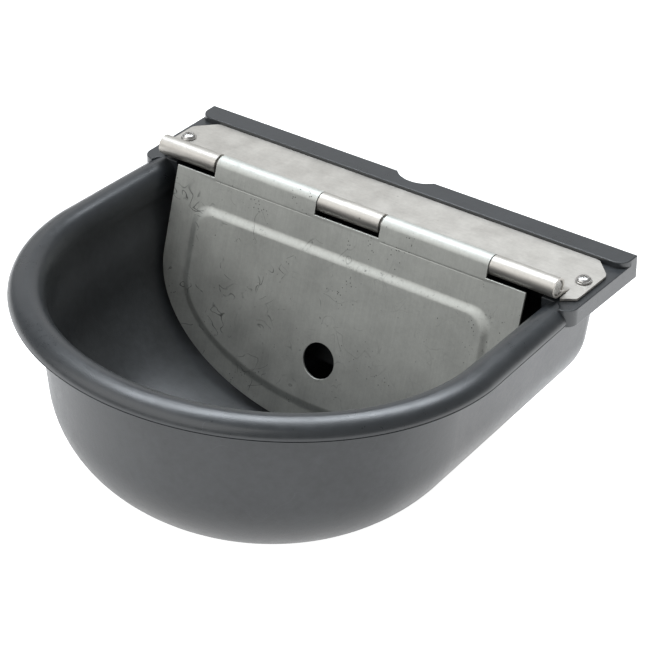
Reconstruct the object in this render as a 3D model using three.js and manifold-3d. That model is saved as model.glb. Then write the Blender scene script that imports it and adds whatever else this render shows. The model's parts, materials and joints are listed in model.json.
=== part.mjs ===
// Float-valve drinking trough for livestock, about 310 mm wide.
//
// A moulded plastic bowl hangs on a wall by its flat back. A float valve at the back keeps the
// water level. A stainless cover over the float chamber has a fixed plate, screwed to the bowl's
// rear flange, and a hanging flap that lifts on a rolled hinge.
//
// While building, X runs along the back, Y = 0 is the back plane and the front is at -Y, and
// Z = 0 is the top of the rear flange. The last group puts the origin at the bottom centre of
// the whole object. All lengths are millimetres.

import * as THREE from "three";
import { mergeVertices } from "three/addons/utils/BufferGeometryUtils.js";
import Module from "manifold-3d";

const wasm = await Module();
wasm.setup();

// ---------------------------------------------------------------- driving dimensions

const WIDTH = 310;
const DEPTH = 284.6;
const WALL = 3.5;
const SHEET = 1.5;
const GAP = 0.3;
const DEGREE = Math.PI / 180;

const flange = {
  depth: 72,
  thickness: 11,
  railHeight: 3.8,
  railDepth: 14.6,
  frontCorner: 5,
  openingBack: 24,
  openingHalf: 131.5,
  openingCorner: 12,
};

const bowl = {
  depth: 129.5,
  floorSlope: 0.085,
  midLength: 149.6,
  wallTop: -12,
  halfWidth: 137,
  frontReach: 120,
  sideDraft: Math.tan(7.3 * DEGREE),
  frontDraft: Math.tan(2 * DEGREE),
  roundHeight: 68,
  sideRound: 96,
  frontRound: 103,
  backRoundHeight: 43,
  backRound: 38,
  backCorner: 16,
  backCornerGrowth: 12,
  skinTop: -2,
};

const lip = {
  centre: 147.6,
  innerHalf: 133.3,
  innerReach: 114.4,
  outerHalf: WIDTH / 2,
  outerReach: DEPTH - 147.6,
  backStart: 60,
  backOuterHalf: 151.5,
  backInnerHalf: 132.3,
};

// A half-round groove down the back gives room for the supply pipe.
const pipeGroove = { radius: 18, behind: 11.5 };

const hinge = {
  y: -64.7,
  z: 8.6,
  rollRadius: 6.1,
  pinRadius: 4.4,
  halfLength: 142,
  outerJoint: 98.5,
  centreJoint: 22.6,
  jointGap: 0.6,
  flapShift: 0.6,
};

const plate = {
  halfWidth: 150.8,
  rear: -14.9,
  rearChamfer: 12,
  sideEnd: -59,
  tabEnd: -65,
  tabHalf: 142.6,
  notchEdge: -55.6,
};

const flap = {
  hang: 73 * DEGREE,
  halfWidth: 125.5,
  top: 7.3,
  straight: 62,
  roundDepth: 75,
  holeDrop: 91.8,
  holeRadius: 11.1,
  embossTop: 24.5,
  embossHalf: 109,
  embossStraight: 70,
  embossRound: 55,
  embossCorner: 14,
  embossHeight: 2.5,
  embossBand: 4.5,
};

const coverScrew = {
  x: 143.5,
  y: -40,
  headRadius: 4.9,
  headHeight: 2.9,
  headEdge: 0.35,
  shankRadius: 2.3,
  length: 14,
  holeRadius: 2.8,
  slotLength: 2.4,
  slotHalf: 0.5,
  slotFloor: 1.3,
};
const insert = { outer: 3.5, inner: 2.7, length: 9.5 };
const screwBoss = { radius: 5.5, bottom: -17, holeBottom: -15 };

const inlet = {
  z: -44,
  threadRadius: 10.4,
  behind: 12,
  holeRadius: 10.9,
  recessRadius: 26,
  recessDepth: 8.5,
};

const valve = {
  barrelRadius: 10,
  barrelFront: -47,
  hexRadius: 15,
  hexLength: 5,
  boreRadius: 6.7,
  boreBack: -12,
  waterwayRadius: 5.6,
  cheekInside: 5.4,
  cheekOutside: 8.6,
  cheekBack: -35,
  cheekBottom: -60.5,
  slotHalf: 3.2,
};
const nozzle = { radius: 6.3, front: -18, tipRadius: 3.2, tipFront: -22, orifice: 1.6 };
const strainer = { outer: 5.1, inner: 4.1, front: -10, back: 9, floor: 1 };
const lockNut = { radius: 15.6, thickness: 6 };
const washer = { outer: 15.5, inner: 10.9, thick: 1.6 };
const plunger = {
  radius: 6.3,
  front: -48,
  back: -29.4,
  pocketRadius: 4.8,
  pocketDepth: 2.4,
  slotFront: 3.1,
  slotBack: 3.1,
  lowSlotFront: 4.9,
};
const seal = { radius: 4.5, depth: 2.1, proud: 2.6 };

const pivot = { y: -41, z: -56, pinRadius: 2, fit: 0.1 };
const pivotPinHead = { radius: 3.6, from: 9.2, end: 12 };
const clip = { radius: 4.2, thickness: 1, slotHalf: 1.2 };
const arm = {
  half: 2.4,
  tipRadius: 2.6,
  uprightHalf: 1.5,
  hubRadius: 4.6,
  hubHalf: 4.8,
  hubClearance: 5,
  leverHalf: 4,
  padHalf: 9,
  padFront: 12,
  padBack: 7,
  padThickness: 2.6,
};
const floatBlock = {
  half: 48,
  front: -80,
  back: -46,
  top: -66.8,
  bottom: -94,
  boltY: -64,
  edge: 3,
  corner: 10,
  boreRadius: 3,
};
const bolt = { radius: 2.5, headRadius: 4.6, headHeight: 3.2, nutHeight: 4, end: 5.5, holeRadius: 2.8 };

const drain = { y: -150, holeRadius: 9.6, seatRadius: 17, seatZ: -123.2 };
const plug = {
  depth: 6.4,
  tipRadius: 8.4,
  taper: 1.8,
  capRadius: 14.5,
  capEdge: 1.6,
  domeRadius: 12.4,
  domeEdge: 3.4,
  top: 4,
  tabRadius: 6.5,
  tabHalf: 2,
  tabZ: 7,
  tabHoleRadius: 3.2,
  tabHoleZ: 8,
};
const wallHole = { x: 75, z: -48, radius: 4.5, padRadius: 11, padDepth: 7 };

// The flap leans on two lugs on the floor. They're placed in the flap's own frame.
const stopLug = { x: 29, half: 7, top: 122, bottom: 150, thickness: 6 };

// How far a cutting tool runs past the piece that it cuts.
const PAST = 10;

// ---------------------------------------------------------------- materials

function finish(color, roughness, metalness) {
  return new THREE.MeshStandardMaterial({ color, roughness, metalness });
}

const bowlPlastic = finish(0x54595c, 0.55, 0);
const stainless = finish(0xb9b8b2, 0.38, 1);
const brass = finish(0xb08d4c, 0.4, 1);
const valvePlastic = finish(0xe6e4dc, 0.45, 0);
const blackRubber = finish(0x232324, 0.8, 0);
const floatPlastic = finish(0x2e3032, 0.7, 0);
const meshSteel = finish(0x9b9c9a, 0.5, 1);

// ---------------------------------------------------------------- solid helpers

function solidFrom(geometry) {
  const bare = geometry.clone();
  bare.deleteAttribute("normal");
  bare.deleteAttribute("uv");
  const merged = mergeVertices(bare, 1e-4);
  const vertProperties = Float32Array.from(merged.attributes.position.array);
  const triVerts = Uint32Array.from(merged.index.array);
  return new wasm.Manifold(new wasm.Mesh({ numProp: 3, vertProperties, triVerts }));
}

function geometryFrom(solid) {
  const mesh = solid.getMesh();
  const geometry = new THREE.BufferGeometry();
  geometry.setAttribute("position", new THREE.BufferAttribute(mesh.vertProperties, 3));
  geometry.setIndex(new THREE.BufferAttribute(mesh.triVerts, 1));
  return geometry;
}

function joined(...geometries) {
  return geometries.map(solidFrom).reduce((sum, next) => sum.add(next));
}

function cut(solid, ...geometries) {
  return geometries.map(solidFrom).reduce((rest, next) => rest.subtract(next), solid);
}

function piece(name, geometry, material) {
  const mesh = new THREE.Mesh(geometry, material);
  mesh.name = name;
  return mesh;
}

function block(x0, x1, y0, y1, z0, z1) {
  const geometry = new THREE.BoxGeometry(x1 - x0, y1 - y0, z1 - z0);
  return geometry.translate((x0 + x1) / 2, (y0 + y1) / 2, (z0 + z1) / 2);
}

function rodX(radius, x0, x1, y, z, sides = 24) {
  const geometry = new THREE.CylinderGeometry(radius, radius, x1 - x0, sides);
  return geometry.rotateZ(Math.PI / 2).translate((x0 + x1) / 2, y, z);
}

function rodY(radius, y0, y1, x, z, sides = 24) {
  const geometry = new THREE.CylinderGeometry(radius, radius, y1 - y0, sides);
  return geometry.translate(x, (y0 + y1) / 2, z);
}

function rodZ(radius, z0, z1, x, y, sides = 24) {
  const geometry = new THREE.CylinderGeometry(radius, radius, z1 - z0, sides);
  return geometry.rotateX(Math.PI / 2).translate(x, y, (z0 + z1) / 2);
}

// A plan shape, drawn in X and Y, made thick from z0 to z1.
function slab(shape, z0, z1, curveSegments = 12) {
  const geometry = new THREE.ExtrudeGeometry(shape, { depth: z1 - z0, bevelEnabled: false, curveSegments });
  return geometry.translate(0, 0, z0);
}

// A side view, drawn in Y and Z, made long from x0 to x1.
function alongX(shape, x0, x1, curveSegments = 12) {
  const geometry = new THREE.ExtrudeGeometry(shape, { depth: x1 - x0, bevelEnabled: false, curveSegments });
  const turn = new THREE.Matrix4().makeBasis(
    new THREE.Vector3(0, 1, 0),
    new THREE.Vector3(0, 0, 1),
    new THREE.Vector3(1, 0, 0),
  );
  return geometry.applyMatrix4(turn).translate(x0, 0, 0);
}

// Triangles that fill a ring, each running the same way round as the ring itself.
function capTriangles(ring, capPlane) {
  const flat = ring.map(capPlane);
  const ringIsClockwise = THREE.ShapeUtils.isClockWise(flat);
  return THREE.ShapeUtils.triangulateShape(flat, []).map((triangle) => {
    const sameWay = THREE.ShapeUtils.isClockWise(triangle.map((i) => flat[i])) === ringIsClockwise;
    return sameWay ? triangle : [...triangle].reverse();
  });
}

// A closed solid through rings of equal length. Every ring runs counterclockwise as seen from
// the last ring, and the first and last rings are closed by caps.
function loft(rings, capPlane) {
  const count = rings[0].length;
  const positions = rings.flat().flatMap((point) => [point.x, point.y, point.z]);
  const index = [];
  for (let level = 0; level + 1 < rings.length; level += 1) {
    for (let i = 0; i < count; i += 1) {
      const next = (i + 1) % count;
      const a = level * count + i;
      const b = level * count + next;
      index.push(a, b, b + count);
      index.push(a, b + count, a + count);
    }
  }
  for (const [a, b, c] of capTriangles(rings[0], capPlane)) {
    index.push(c, b, a);
  }
  const top = (rings.length - 1) * count;
  for (const [a, b, c] of capTriangles(rings.at(-1), capPlane)) {
    index.push(top + a, top + b, top + c);
  }
  const geometry = new THREE.BufferGeometry();
  geometry.setAttribute("position", new THREE.Float32BufferAttribute(positions, 3));
  geometry.setIndex(index);
  return geometry;
}

const fromAbove = (point) => new THREE.Vector2(point.x, point.y);

// ---------------------------------------------------------------- bowl

const FRONT_STEPS = 36;
const CORNER_STEPS = 4;
const ROUND_STEP = 15;

// D-shaped outline: a half ellipse at the front, straight sides, rounded corners at the back.
function bowlOutline(halfWidth, reach, middle, back, corner) {
  const points = [];
  for (let i = 0; i <= FRONT_STEPS; i += 1) {
    const angle = Math.PI + (Math.PI * i) / FRONT_STEPS;
    points.push(new THREE.Vector2(halfWidth * Math.cos(angle), -middle + reach * Math.sin(angle)));
  }
  for (const side of [1, -1]) {
    for (let i = 0; i <= CORNER_STEPS; i += 1) {
      const share = side > 0 ? i : CORNER_STEPS - i;
      const angle = (Math.PI / 2) * (share / CORNER_STEPS);
      const x = side * (halfWidth - corner + corner * Math.cos(angle));
      points.push(new THREE.Vector2(x, back - corner + corner * Math.sin(angle)));
    }
  }
  return points;
}

// How far an elliptical rounding has turned in, 0 at its top and 1 at the floor.
function turnIn(up, height) {
  const share = THREE.MathUtils.clamp((height - up) / height, 0, 1);
  return 1 - Math.sqrt(1 - share * share);
}

// One ring of the bowl's skin, inset from the outer surface, at a height above the floor.
function skinRing(inset, up) {
  const deep = bowl.depth - inset;
  const z = up - deep;
  const drop = Math.max(0, bowl.wallTop - z);
  const turn = turnIn(up, bowl.roundHeight - inset);
  const backTurn = turnIn(up, bowl.backRoundHeight - inset);
  const halfWidth = bowl.halfWidth - inset - drop * bowl.sideDraft - (bowl.sideRound - inset) * turn;
  const reach = bowl.frontReach - inset - drop * bowl.frontDraft - (bowl.frontRound - inset) * turn;
  const back = -inset - (bowl.backRound - inset) * backTurn;
  const corner = Math.min(bowl.backCorner - inset + bowl.backCornerGrowth * backTurn, halfWidth - 1);
  const slopeShare = Math.min(1, drop / (deep + bowl.wallTop));
  return bowlOutline(halfWidth, reach, bowl.midLength, back, corner).map((point) => {
    const fall = bowl.floorSlope * slopeShare * (-point.y - bowl.midLength);
    return new THREE.Vector3(point.x, point.y, z - fall);
  });
}

function bowlSkin(inset, topZ) {
  const height = bowl.roundHeight - inset;
  const rings = [];
  for (let degrees = 90; degrees >= 0; degrees -= ROUND_STEP) {
    rings.push(skinRing(inset, height * (1 - Math.sin(degrees * DEGREE))));
  }
  rings.push(skinRing(inset, bowl.depth - inset + bowl.wallTop));
  rings.push(skinRing(inset, bowl.depth - inset + topZ));
  return loft(rings, fromAbove);
}

// The overhanging lip is a hollow skirt: profile points are the share of the way from the
// inner to the outer edge, and the height.
function lipGeometry() {
  const profile = [
    [0, -5], [0.05, -2.4], [0.16, -0.7], [0.34, 0], [0.58, -0.5], [0.8, -2], [0.95, -4.3],
    [1, -6.6], [0.985, -9.6], [0.885, -9.6], [0.86, -7], [0.72, -4.9], [0.55, -4],
    [0.34, -4.5], [0.22, -15], [0, -9],
  ];
  const station = (inner, outer) => profile.map(([share, z]) => {
    const point = inner.clone().lerp(outer, share);
    return new THREE.Vector3(point.x, point.y, z);
  });
  const backEnd = (side) => station(
    new THREE.Vector2(side * lip.backInnerHalf, -lip.backStart),
    new THREE.Vector2(side * lip.backOuterHalf, -lip.backStart),
  );
  const rings = [backEnd(-1)];
  for (let i = 0; i <= FRONT_STEPS; i += 1) {
    const angle = Math.PI + (Math.PI * i) / FRONT_STEPS;
    const edge = (half, reach) => new THREE.Vector2(
      half * Math.cos(angle),
      -lip.centre + reach * Math.sin(angle),
    );
    rings.push(station(edge(lip.innerHalf, lip.innerReach), edge(lip.outerHalf, lip.outerReach)));
  }
  rings.push(backEnd(1));
  return loft(rings, (point) => new THREE.Vector2(point.x, point.z));
}

function roundedFrontShape(halfWidth, depth, radius) {
  const shape = new THREE.Shape();
  shape.moveTo(halfWidth, 0);
  shape.lineTo(-halfWidth, 0);
  shape.lineTo(-halfWidth, -depth + radius);
  shape.absarc(-halfWidth + radius, -depth + radius, radius, Math.PI, 1.5 * Math.PI, false);
  shape.lineTo(halfWidth - radius, -depth);
  shape.absarc(halfWidth - radius, -depth + radius, radius, 1.5 * Math.PI, 2 * Math.PI, false);
  return shape;
}

function rimOpeningShape() {
  const shape = new THREE.Shape();
  const half = flange.openingHalf;
  const corner = flange.openingCorner;
  shape.moveTo(half, -flange.openingBack - corner);
  shape.absarc(half - corner, -flange.openingBack - corner, corner, 0, Math.PI / 2, false);
  shape.absarc(-half + corner, -flange.openingBack - corner, corner, Math.PI / 2, Math.PI, false);
  shape.lineTo(-lip.innerHalf, -lip.centre);
  shape.absellipse(0, -lip.centre, lip.innerHalf, lip.innerReach, Math.PI, 2 * Math.PI, false);
  return shape;
}

// The lugs stand just behind the flap's lower edge.
function stopLugs() {
  const { x, half, top, bottom, thickness } = stopLug;
  const front = hinge.rollRadius - SHEET - 2 * GAP;
  return [-x, x].map((middle) => {
    const lug = block(middle - half, middle + half, -bottom, -top, front - thickness, front);
    return lug.rotateX(flap.hang).translate(0, hinge.y, hinge.z);
  });
}

function bowlBody() {
  const outer = solidFrom(bowlSkin(0, bowl.skinTop));
  const lugs = joined(...stopLugs()).intersect(outer);
  const flangePlan = roundedFrontShape(WIDTH / 2, flange.depth, flange.frontCorner);
  const railPlan = roundedFrontShape(WIDTH / 2, flange.railDepth, flange.frontCorner);
  const shell = outer
    .add(solidFrom(slab(flangePlan, -flange.thickness, 0)))
    .add(solidFrom(slab(railPlan, -flange.thickness / 2, flange.railHeight)));
  const hollow = cut(
    shell,
    bowlSkin(WALL, -flange.thickness),
    slab(rimOpeningShape(), -flange.thickness - 2, PAST, 18),
  );
  const inWall = -WALL / 2;
  const inFlange = -flange.thickness / 2;
  const recessFloor = -inlet.recessDepth - WALL - 0.5;
  const additions = [
    lipGeometry(),
    rodZ(pipeGroove.radius + WALL, inlet.z - inlet.recessRadius, inFlange, 0, pipeGroove.behind),
    rodY(inlet.recessRadius + WALL, recessFloor, inWall, 0, inlet.z),
    rodZ(drain.seatRadius, -bowl.depth + 1, drain.seatZ, 0, drain.y),
  ];
  for (const side of [-1, 1]) {
    const screwX = side * coverScrew.x;
    const holeX = side * wallHole.x;
    additions.push(rodZ(screwBoss.radius, screwBoss.bottom, inFlange, screwX, coverScrew.y, 16));
    additions.push(rodY(wallHole.padRadius, -wallHole.padDepth, inWall, holeX, wallHole.z, 16));
  }
  const withBosses = additions
    .map(solidFrom)
    .reduce((sum, next) => sum.add(next), hollow)
    .add(lugs);
  const behind = 2 * (inlet.recessRadius + WALL);
  const cuts = [
    rodZ(pipeGroove.radius, inlet.z, PAST, 0, pipeGroove.behind),
    rodY(inlet.recessRadius, -inlet.recessDepth, PAST, 0, inlet.z),
    block(-behind, behind, 0, 2 * behind, -bowl.depth - PAST, PAST),
    rodY(inlet.holeRadius, recessFloor - PAST, PAST, 0, inlet.z),
    rodZ(drain.holeRadius, -bowl.depth - PAST, drain.seatZ + PAST, 0, drain.y),
  ];
  for (const side of [-1, 1]) {
    const screwX = side * coverScrew.x;
    const holeX = side * wallHole.x;
    const holeStart = -wallHole.padDepth - PAST;
    cuts.push(rodZ(insert.outer + GAP, screwBoss.holeBottom, PAST, screwX, coverScrew.y, 16));
    cuts.push(rodY(wallHole.radius, holeStart, PAST, holeX, wallHole.z, 16));
  }
  return piece("bowl_body", geometryFrom(cut(withBosses, ...cuts)), bowlPlastic);
}

// ---------------------------------------------------------------- hinged cover

// The fixed plate's knuckle: the sheet steps up, runs under the pin and rolls round the front.
function fixedKnuckleShape() {
  const { y, z, rollRadius } = hinge;
  const start = plate.notchEdge + 9;
  const low = z - rollRadius;
  const rollEnd = -40 * DEGREE;
  const shape = new THREE.Shape();
  shape.moveTo(start, GAP + SHEET);
  shape.lineTo(start, GAP);
  shape.lineTo(y + 14, GAP);
  shape.lineTo(y + 5, low);
  shape.lineTo(y, low);
  shape.absarc(y, z, rollRadius, -Math.PI / 2, -2 * Math.PI + rollEnd, true);
  shape.absarc(y, z, rollRadius - SHEET, rollEnd, 1.5 * Math.PI, false);
  shape.lineTo(y + 5, low + SHEET);
  shape.lineTo(y + 14, GAP + SHEET);
  return shape;
}

function platePlan() {
  const { halfWidth, rear, rearChamfer, sideEnd, tabEnd, tabHalf, notchEdge } = plate;
  const right = [
    [halfWidth - rearChamfer, rear],
    [halfWidth, rear - rearChamfer],
    [halfWidth, sideEnd],
    [halfWidth - 5, sideEnd - 2.5],
    [tabHalf, tabEnd],
    [tabHalf, notchEdge],
  ];
  const left = right.map(([x, y]) => [-x, y]).reverse();
  return new THREE.Shape([...left, ...right].map(([x, y]) => new THREE.Vector2(x, y)));
}

function hingePlate() {
  const solids = [slab(platePlan(), GAP, GAP + SHEET)];
  const { halfLength, outerJoint, centreJoint, jointGap } = hinge;
  const spans = [
    [-halfLength, -outerJoint - jointGap],
    [-centreJoint + jointGap, centreJoint - jointGap],
    [outerJoint + jointGap, halfLength],
  ];
  for (const [x0, x1] of spans) {
    solids.push(alongX(fixedKnuckleShape(), x0, x1, 14));
  }
  const holes = [-coverScrew.x, coverScrew.x].map((x) => (
    rodZ(coverScrew.holeRadius, -PAST, PAST, x, coverScrew.y, 16)
  ));
  return piece("hinge_plate", geometryFrom(cut(joined(...solids), ...holes)), stainless);
}

// Outline of the flap's raised panel, brought in by an inset.
function embossPoints(inset) {
  const half = flap.embossHalf - inset;
  const top = -flap.embossTop - inset;
  const corner = flap.embossCorner - inset / 2;
  const shape = new THREE.Shape();
  shape.moveTo(half, -flap.embossStraight);
  shape.lineTo(half, top - corner);
  shape.absarc(half - corner, top - corner, corner, 0, Math.PI / 2, false);
  shape.lineTo(-half + corner, top);
  shape.absarc(-half + corner, top - corner, corner, Math.PI / 2, Math.PI, false);
  shape.lineTo(-half, -flap.embossStraight);
  shape.absellipse(0, -flap.embossStraight, half, flap.embossRound - inset, Math.PI, 2 * Math.PI, false);
  return shape.getPoints(8).slice(0, -1);
}

function embossSolid(insetLow, zLow, insetHigh, zHigh) {
  const ring = (inset, z) => embossPoints(inset).map((point) => new THREE.Vector3(point.x, point.y, z));
  return loft([ring(insetLow, zLow), ring(insetHigh, zHigh)], fromAbove);
}

// The flap is drawn flat with the hinge axis on X: it hangs towards -Y and faces +Z.
function coverFlap() {
  const front = hinge.rollRadius;
  const back = hinge.rollRadius - SHEET;
  const sheet = new THREE.Shape();
  sheet.moveTo(flap.halfWidth, -flap.straight);
  sheet.lineTo(flap.halfWidth, -flap.top);
  sheet.lineTo(-flap.halfWidth, -flap.top);
  sheet.lineTo(-flap.halfWidth, -flap.straight);
  sheet.absellipse(0, -flap.straight, flap.halfWidth, flap.roundDepth, Math.PI, 2 * Math.PI, false);
  const knuckle = new THREE.Shape();
  knuckle.moveTo(-flap.top - 2, back);
  knuckle.lineTo(-flap.top - 2, front);
  knuckle.lineTo(0, front);
  knuckle.absarc(0, 0, front, Math.PI / 2, -190 * DEGREE, true);
  knuckle.absarc(0, 0, back, -190 * DEGREE, Math.PI / 2, false);
  // The flap hangs slightly to the right, so the gaps at its knuckles' left ends are wider.
  const { flapShift } = hinge;
  const inner = hinge.centreJoint + hinge.jointGap;
  const outer = hinge.outerJoint - hinge.jointGap;
  const solid = joined(
    slab(sheet, back, front, 20),
    embossSolid(0, back + 0.5, flap.embossBand, front + flap.embossHeight),
    alongX(knuckle, flapShift - outer, flapShift - inner, 14),
    alongX(knuckle, flapShift + inner, flapShift + outer, 14),
  );
  const hollow = embossSolid(1, back - 0.1, flap.embossBand + 1, back + flap.embossHeight);
  const hole = rodZ(flap.holeRadius, -PAST, front + PAST, 0, -flap.holeDrop);
  const mesh = piece("cover_flap", geometryFrom(cut(solid, hollow, hole)), stainless);
  mesh.position.set(0, hinge.y, hinge.z);
  mesh.rotation.x = flap.hang;
  return mesh;
}

function hingePin() {
  const end = hinge.halfLength - 0.5;
  return piece("hinge_pin", rodX(hinge.pinRadius, -end, end, hinge.y, hinge.z), stainless);
}

function coverScrewPiece(name, side) {
  const under = GAP + SHEET + GAP;
  const { headRadius, headHeight, headEdge, shankRadius, length } = coverScrew;
  const { slotLength, slotHalf, slotFloor } = coverScrew;
  const profile = [[0, -length], [shankRadius, -length], [shankRadius, 0], [headRadius, 0]];
  for (let degrees = 30; degrees <= 90; degrees += 30) {
    const angle = degrees * DEGREE;
    const rise = headEdge + (1 - headEdge) * Math.sin(angle);
    profile.push([headRadius * Math.cos(angle), headHeight * rise]);
  }
  profile.at(-1)[0] = 0;
  const points = profile.map(([radius, height]) => new THREE.Vector2(radius, height));
  const body = new THREE.LatheGeometry(points, 16).rotateX(Math.PI / 2);
  const slots = [
    block(-slotLength, slotLength, -slotHalf, slotHalf, slotFloor, PAST),
    block(-slotHalf, slotHalf, -slotLength, slotLength, slotFloor, PAST),
  ];
  const mesh = piece(name, geometryFrom(cut(solidFrom(body), ...slots)), stainless);
  mesh.position.set(side * coverScrew.x, coverScrew.y, under);
  return mesh;
}

function screwInsert(name, side) {
  const ring = joined(rodZ(insert.outer, -insert.length, 0, 0, 0, 16));
  const hole = rodZ(insert.inner, -insert.length - PAST, PAST, 0, 0, 16);
  const mesh = piece(name, geometryFrom(cut(ring, hole)), brass);
  mesh.position.set(side * coverScrew.x, coverScrew.y, -GAP);
  return mesh;
}

// ---------------------------------------------------------------- inlet valve

const wallOutside = -inlet.recessDepth;
const wallInside = wallOutside - WALL - 0.5;
const valveFlangeBack = wallInside - 2 * GAP - washer.thick;
const hexFront = valveFlangeBack - valve.hexLength;

function valveBody() {
  const { barrelFront, cheekInside, cheekOutside, cheekBack, cheekBottom, slotHalf } = valve;
  const slotTop = inlet.z;
  const slotBottom = cheekBottom - PAST;
  const solid = joined(
    rodY(inlet.threadRadius, valveFlangeBack, inlet.behind, 0, inlet.z),
    rodY(valve.hexRadius, hexFront, valveFlangeBack, 0, inlet.z, 6),
    rodY(valve.barrelRadius, barrelFront, hexFront + 1, 0, inlet.z),
    block(-cheekOutside, -cheekInside, barrelFront, cheekBack, cheekBottom, inlet.z),
    block(cheekInside, cheekOutside, barrelFront, cheekBack, cheekBottom, inlet.z),
  );
  const cuts = [
    rodY(valve.boreRadius, barrelFront - PAST, valve.boreBack, 0, inlet.z),
    rodY(valve.waterwayRadius, valve.boreBack - 0.5, inlet.behind + PAST, 0, inlet.z),
    block(-slotHalf, slotHalf, barrelFront - PAST, cheekBack + 1, slotBottom, slotTop),
    rodX(arm.hubClearance, -arm.hubHalf - 0.4, arm.hubHalf + 0.4, pivot.y, pivot.z),
    rodX(pivot.pinRadius + pivot.fit, -cheekOutside - PAST, cheekOutside + PAST, pivot.y, pivot.z),
  ];
  return piece("valve_body", geometryFrom(cut(solid, ...cuts)), valvePlastic);
}

function valveNozzle() {
  const solid = joined(
    rodY(nozzle.radius, nozzle.front, valve.boreBack - GAP, 0, inlet.z),
    rodY(nozzle.tipRadius, nozzle.tipFront, nozzle.front + 0.5, 0, inlet.z),
  );
  const hole = rodY(nozzle.orifice, nozzle.tipFront - PAST, PAST, 0, inlet.z);
  return piece("valve_nozzle", geometryFrom(cut(solid, hole)), brass);
}

function inletStrainer() {
  const { outer, inner, front, back, floor } = strainer;
  const cup = joined(rodY(outer, front, back, 0, inlet.z));
  const hollow = rodY(inner, front + floor, back + PAST, 0, inlet.z);
  return piece("inlet_strainer", geometryFrom(cut(cup, hollow)), meshSteel);
}

function washerPiece(name, back, outer) {
  const ring = joined(rodY(outer, back - washer.thick, back, 0, inlet.z));
  const hole = rodY(washer.inner, back - PAST, back + PAST, 0, inlet.z);
  return piece(name, geometryFrom(cut(ring, hole)), blackRubber);
}

function lockNutPiece() {
  const front = wallOutside + washer.thick + 2 * GAP;
  const nut = joined(rodY(lockNut.radius, front, front + lockNut.thickness, 0, inlet.z, 6));
  const hole = rodY(inlet.threadRadius + GAP, front - PAST, front + 2 * PAST, 0, inlet.z);
  return piece("lock_nut", geometryFrom(cut(nut, hole)), brass);
}

// The lever's tip works in a slot through the plunger. The slot is longer low down, where the
// lever moves less than the plunger.
function valvePlunger() {
  const { radius, front, back, pocketRadius, pocketDepth } = plunger;
  const { slotHalf } = valve;
  const slotFront = pivot.y - plunger.slotFront;
  const slotBack = pivot.y + plunger.slotBack;
  const lowSlotFront = pivot.y - plunger.lowSlotFront;
  const underside = inlet.z - radius - 1;
  const cuts = [
    rodY(pocketRadius, back - pocketDepth, back + PAST, 0, inlet.z),
    block(-slotHalf, slotHalf, slotFront, slotBack, underside, inlet.z + arm.tipRadius + 1),
    block(-slotHalf, slotHalf, lowSlotFront, pivot.y, underside, inlet.z - arm.tipRadius),
  ];
  const body = joined(rodY(radius, front, back, 0, inlet.z));
  return piece("valve_plunger", geometryFrom(cut(body, ...cuts)), valvePlastic);
}

function plungerSeal() {
  const disc = rodY(seal.radius, plunger.back - seal.depth, plunger.back + seal.proud, 0, inlet.z);
  return piece("plunger_seal", disc, blackRubber);
}

// ---------------------------------------------------------------- float and its arm

function floatArm() {
  const { half, uprightHalf, hubHalf, padHalf, leverHalf, padThickness } = arm;
  const padBottom = floatBlock.top + GAP;
  const padTop = padBottom + padThickness;
  const leverEnd = floatBlock.boltY + leverHalf;
  const padFront = floatBlock.boltY - arm.padFront;
  const padBack = floatBlock.boltY + arm.padBack;
  const lever = new THREE.Shape();
  lever.moveTo(pivot.y + 1, pivot.z - leverHalf);
  lever.lineTo(pivot.y - 1, pivot.z + leverHalf);
  lever.lineTo(leverEnd, padTop);
  lever.lineTo(leverEnd, padBottom);
  const solid = joined(
    rodX(arm.tipRadius, -half, half, pivot.y, inlet.z, 16),
    block(-half, half, pivot.y - uprightHalf, pivot.y + uprightHalf, pivot.z, inlet.z),
    rodX(arm.hubRadius, -hubHalf, hubHalf, pivot.y, pivot.z),
    alongX(lever, -half, half),
    block(-padHalf, padHalf, padFront, padBack, padBottom, padTop),
  );
  const cuts = [
    rodX(pivot.pinRadius + pivot.fit, -hubHalf - PAST, hubHalf + PAST, pivot.y, pivot.z),
    rodZ(bolt.holeRadius, padBottom - PAST, padTop + PAST, 0, floatBlock.boltY),
  ];
  return piece("float_arm", geometryFrom(cut(solid, ...cuts)), stainless);
}

function pivotPin() {
  const { radius, from, end } = pivotPinHead;
  const solid = joined(
    rodX(pivot.pinRadius, -end, end, pivot.y, pivot.z),
    rodX(radius, -end, -from, pivot.y, pivot.z),
  );
  return piece("pivot_pin", geometryFrom(solid), stainless);
}

function pivotClip() {
  const start = pivotPinHead.from;
  const { slotHalf } = clip;
  const ring = joined(rodX(clip.radius, start, start + clip.thickness, pivot.y, pivot.z));
  const cuts = [
    rodX(pivot.pinRadius + 2 * pivot.fit, start - PAST, start + PAST, pivot.y, pivot.z),
    block(start - PAST, start + PAST, pivot.y - slotHalf, pivot.y + slotHalf, pivot.z, PAST),
  ];
  return piece("pivot_clip", geometryFrom(cut(ring, ...cuts)), stainless);
}

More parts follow.
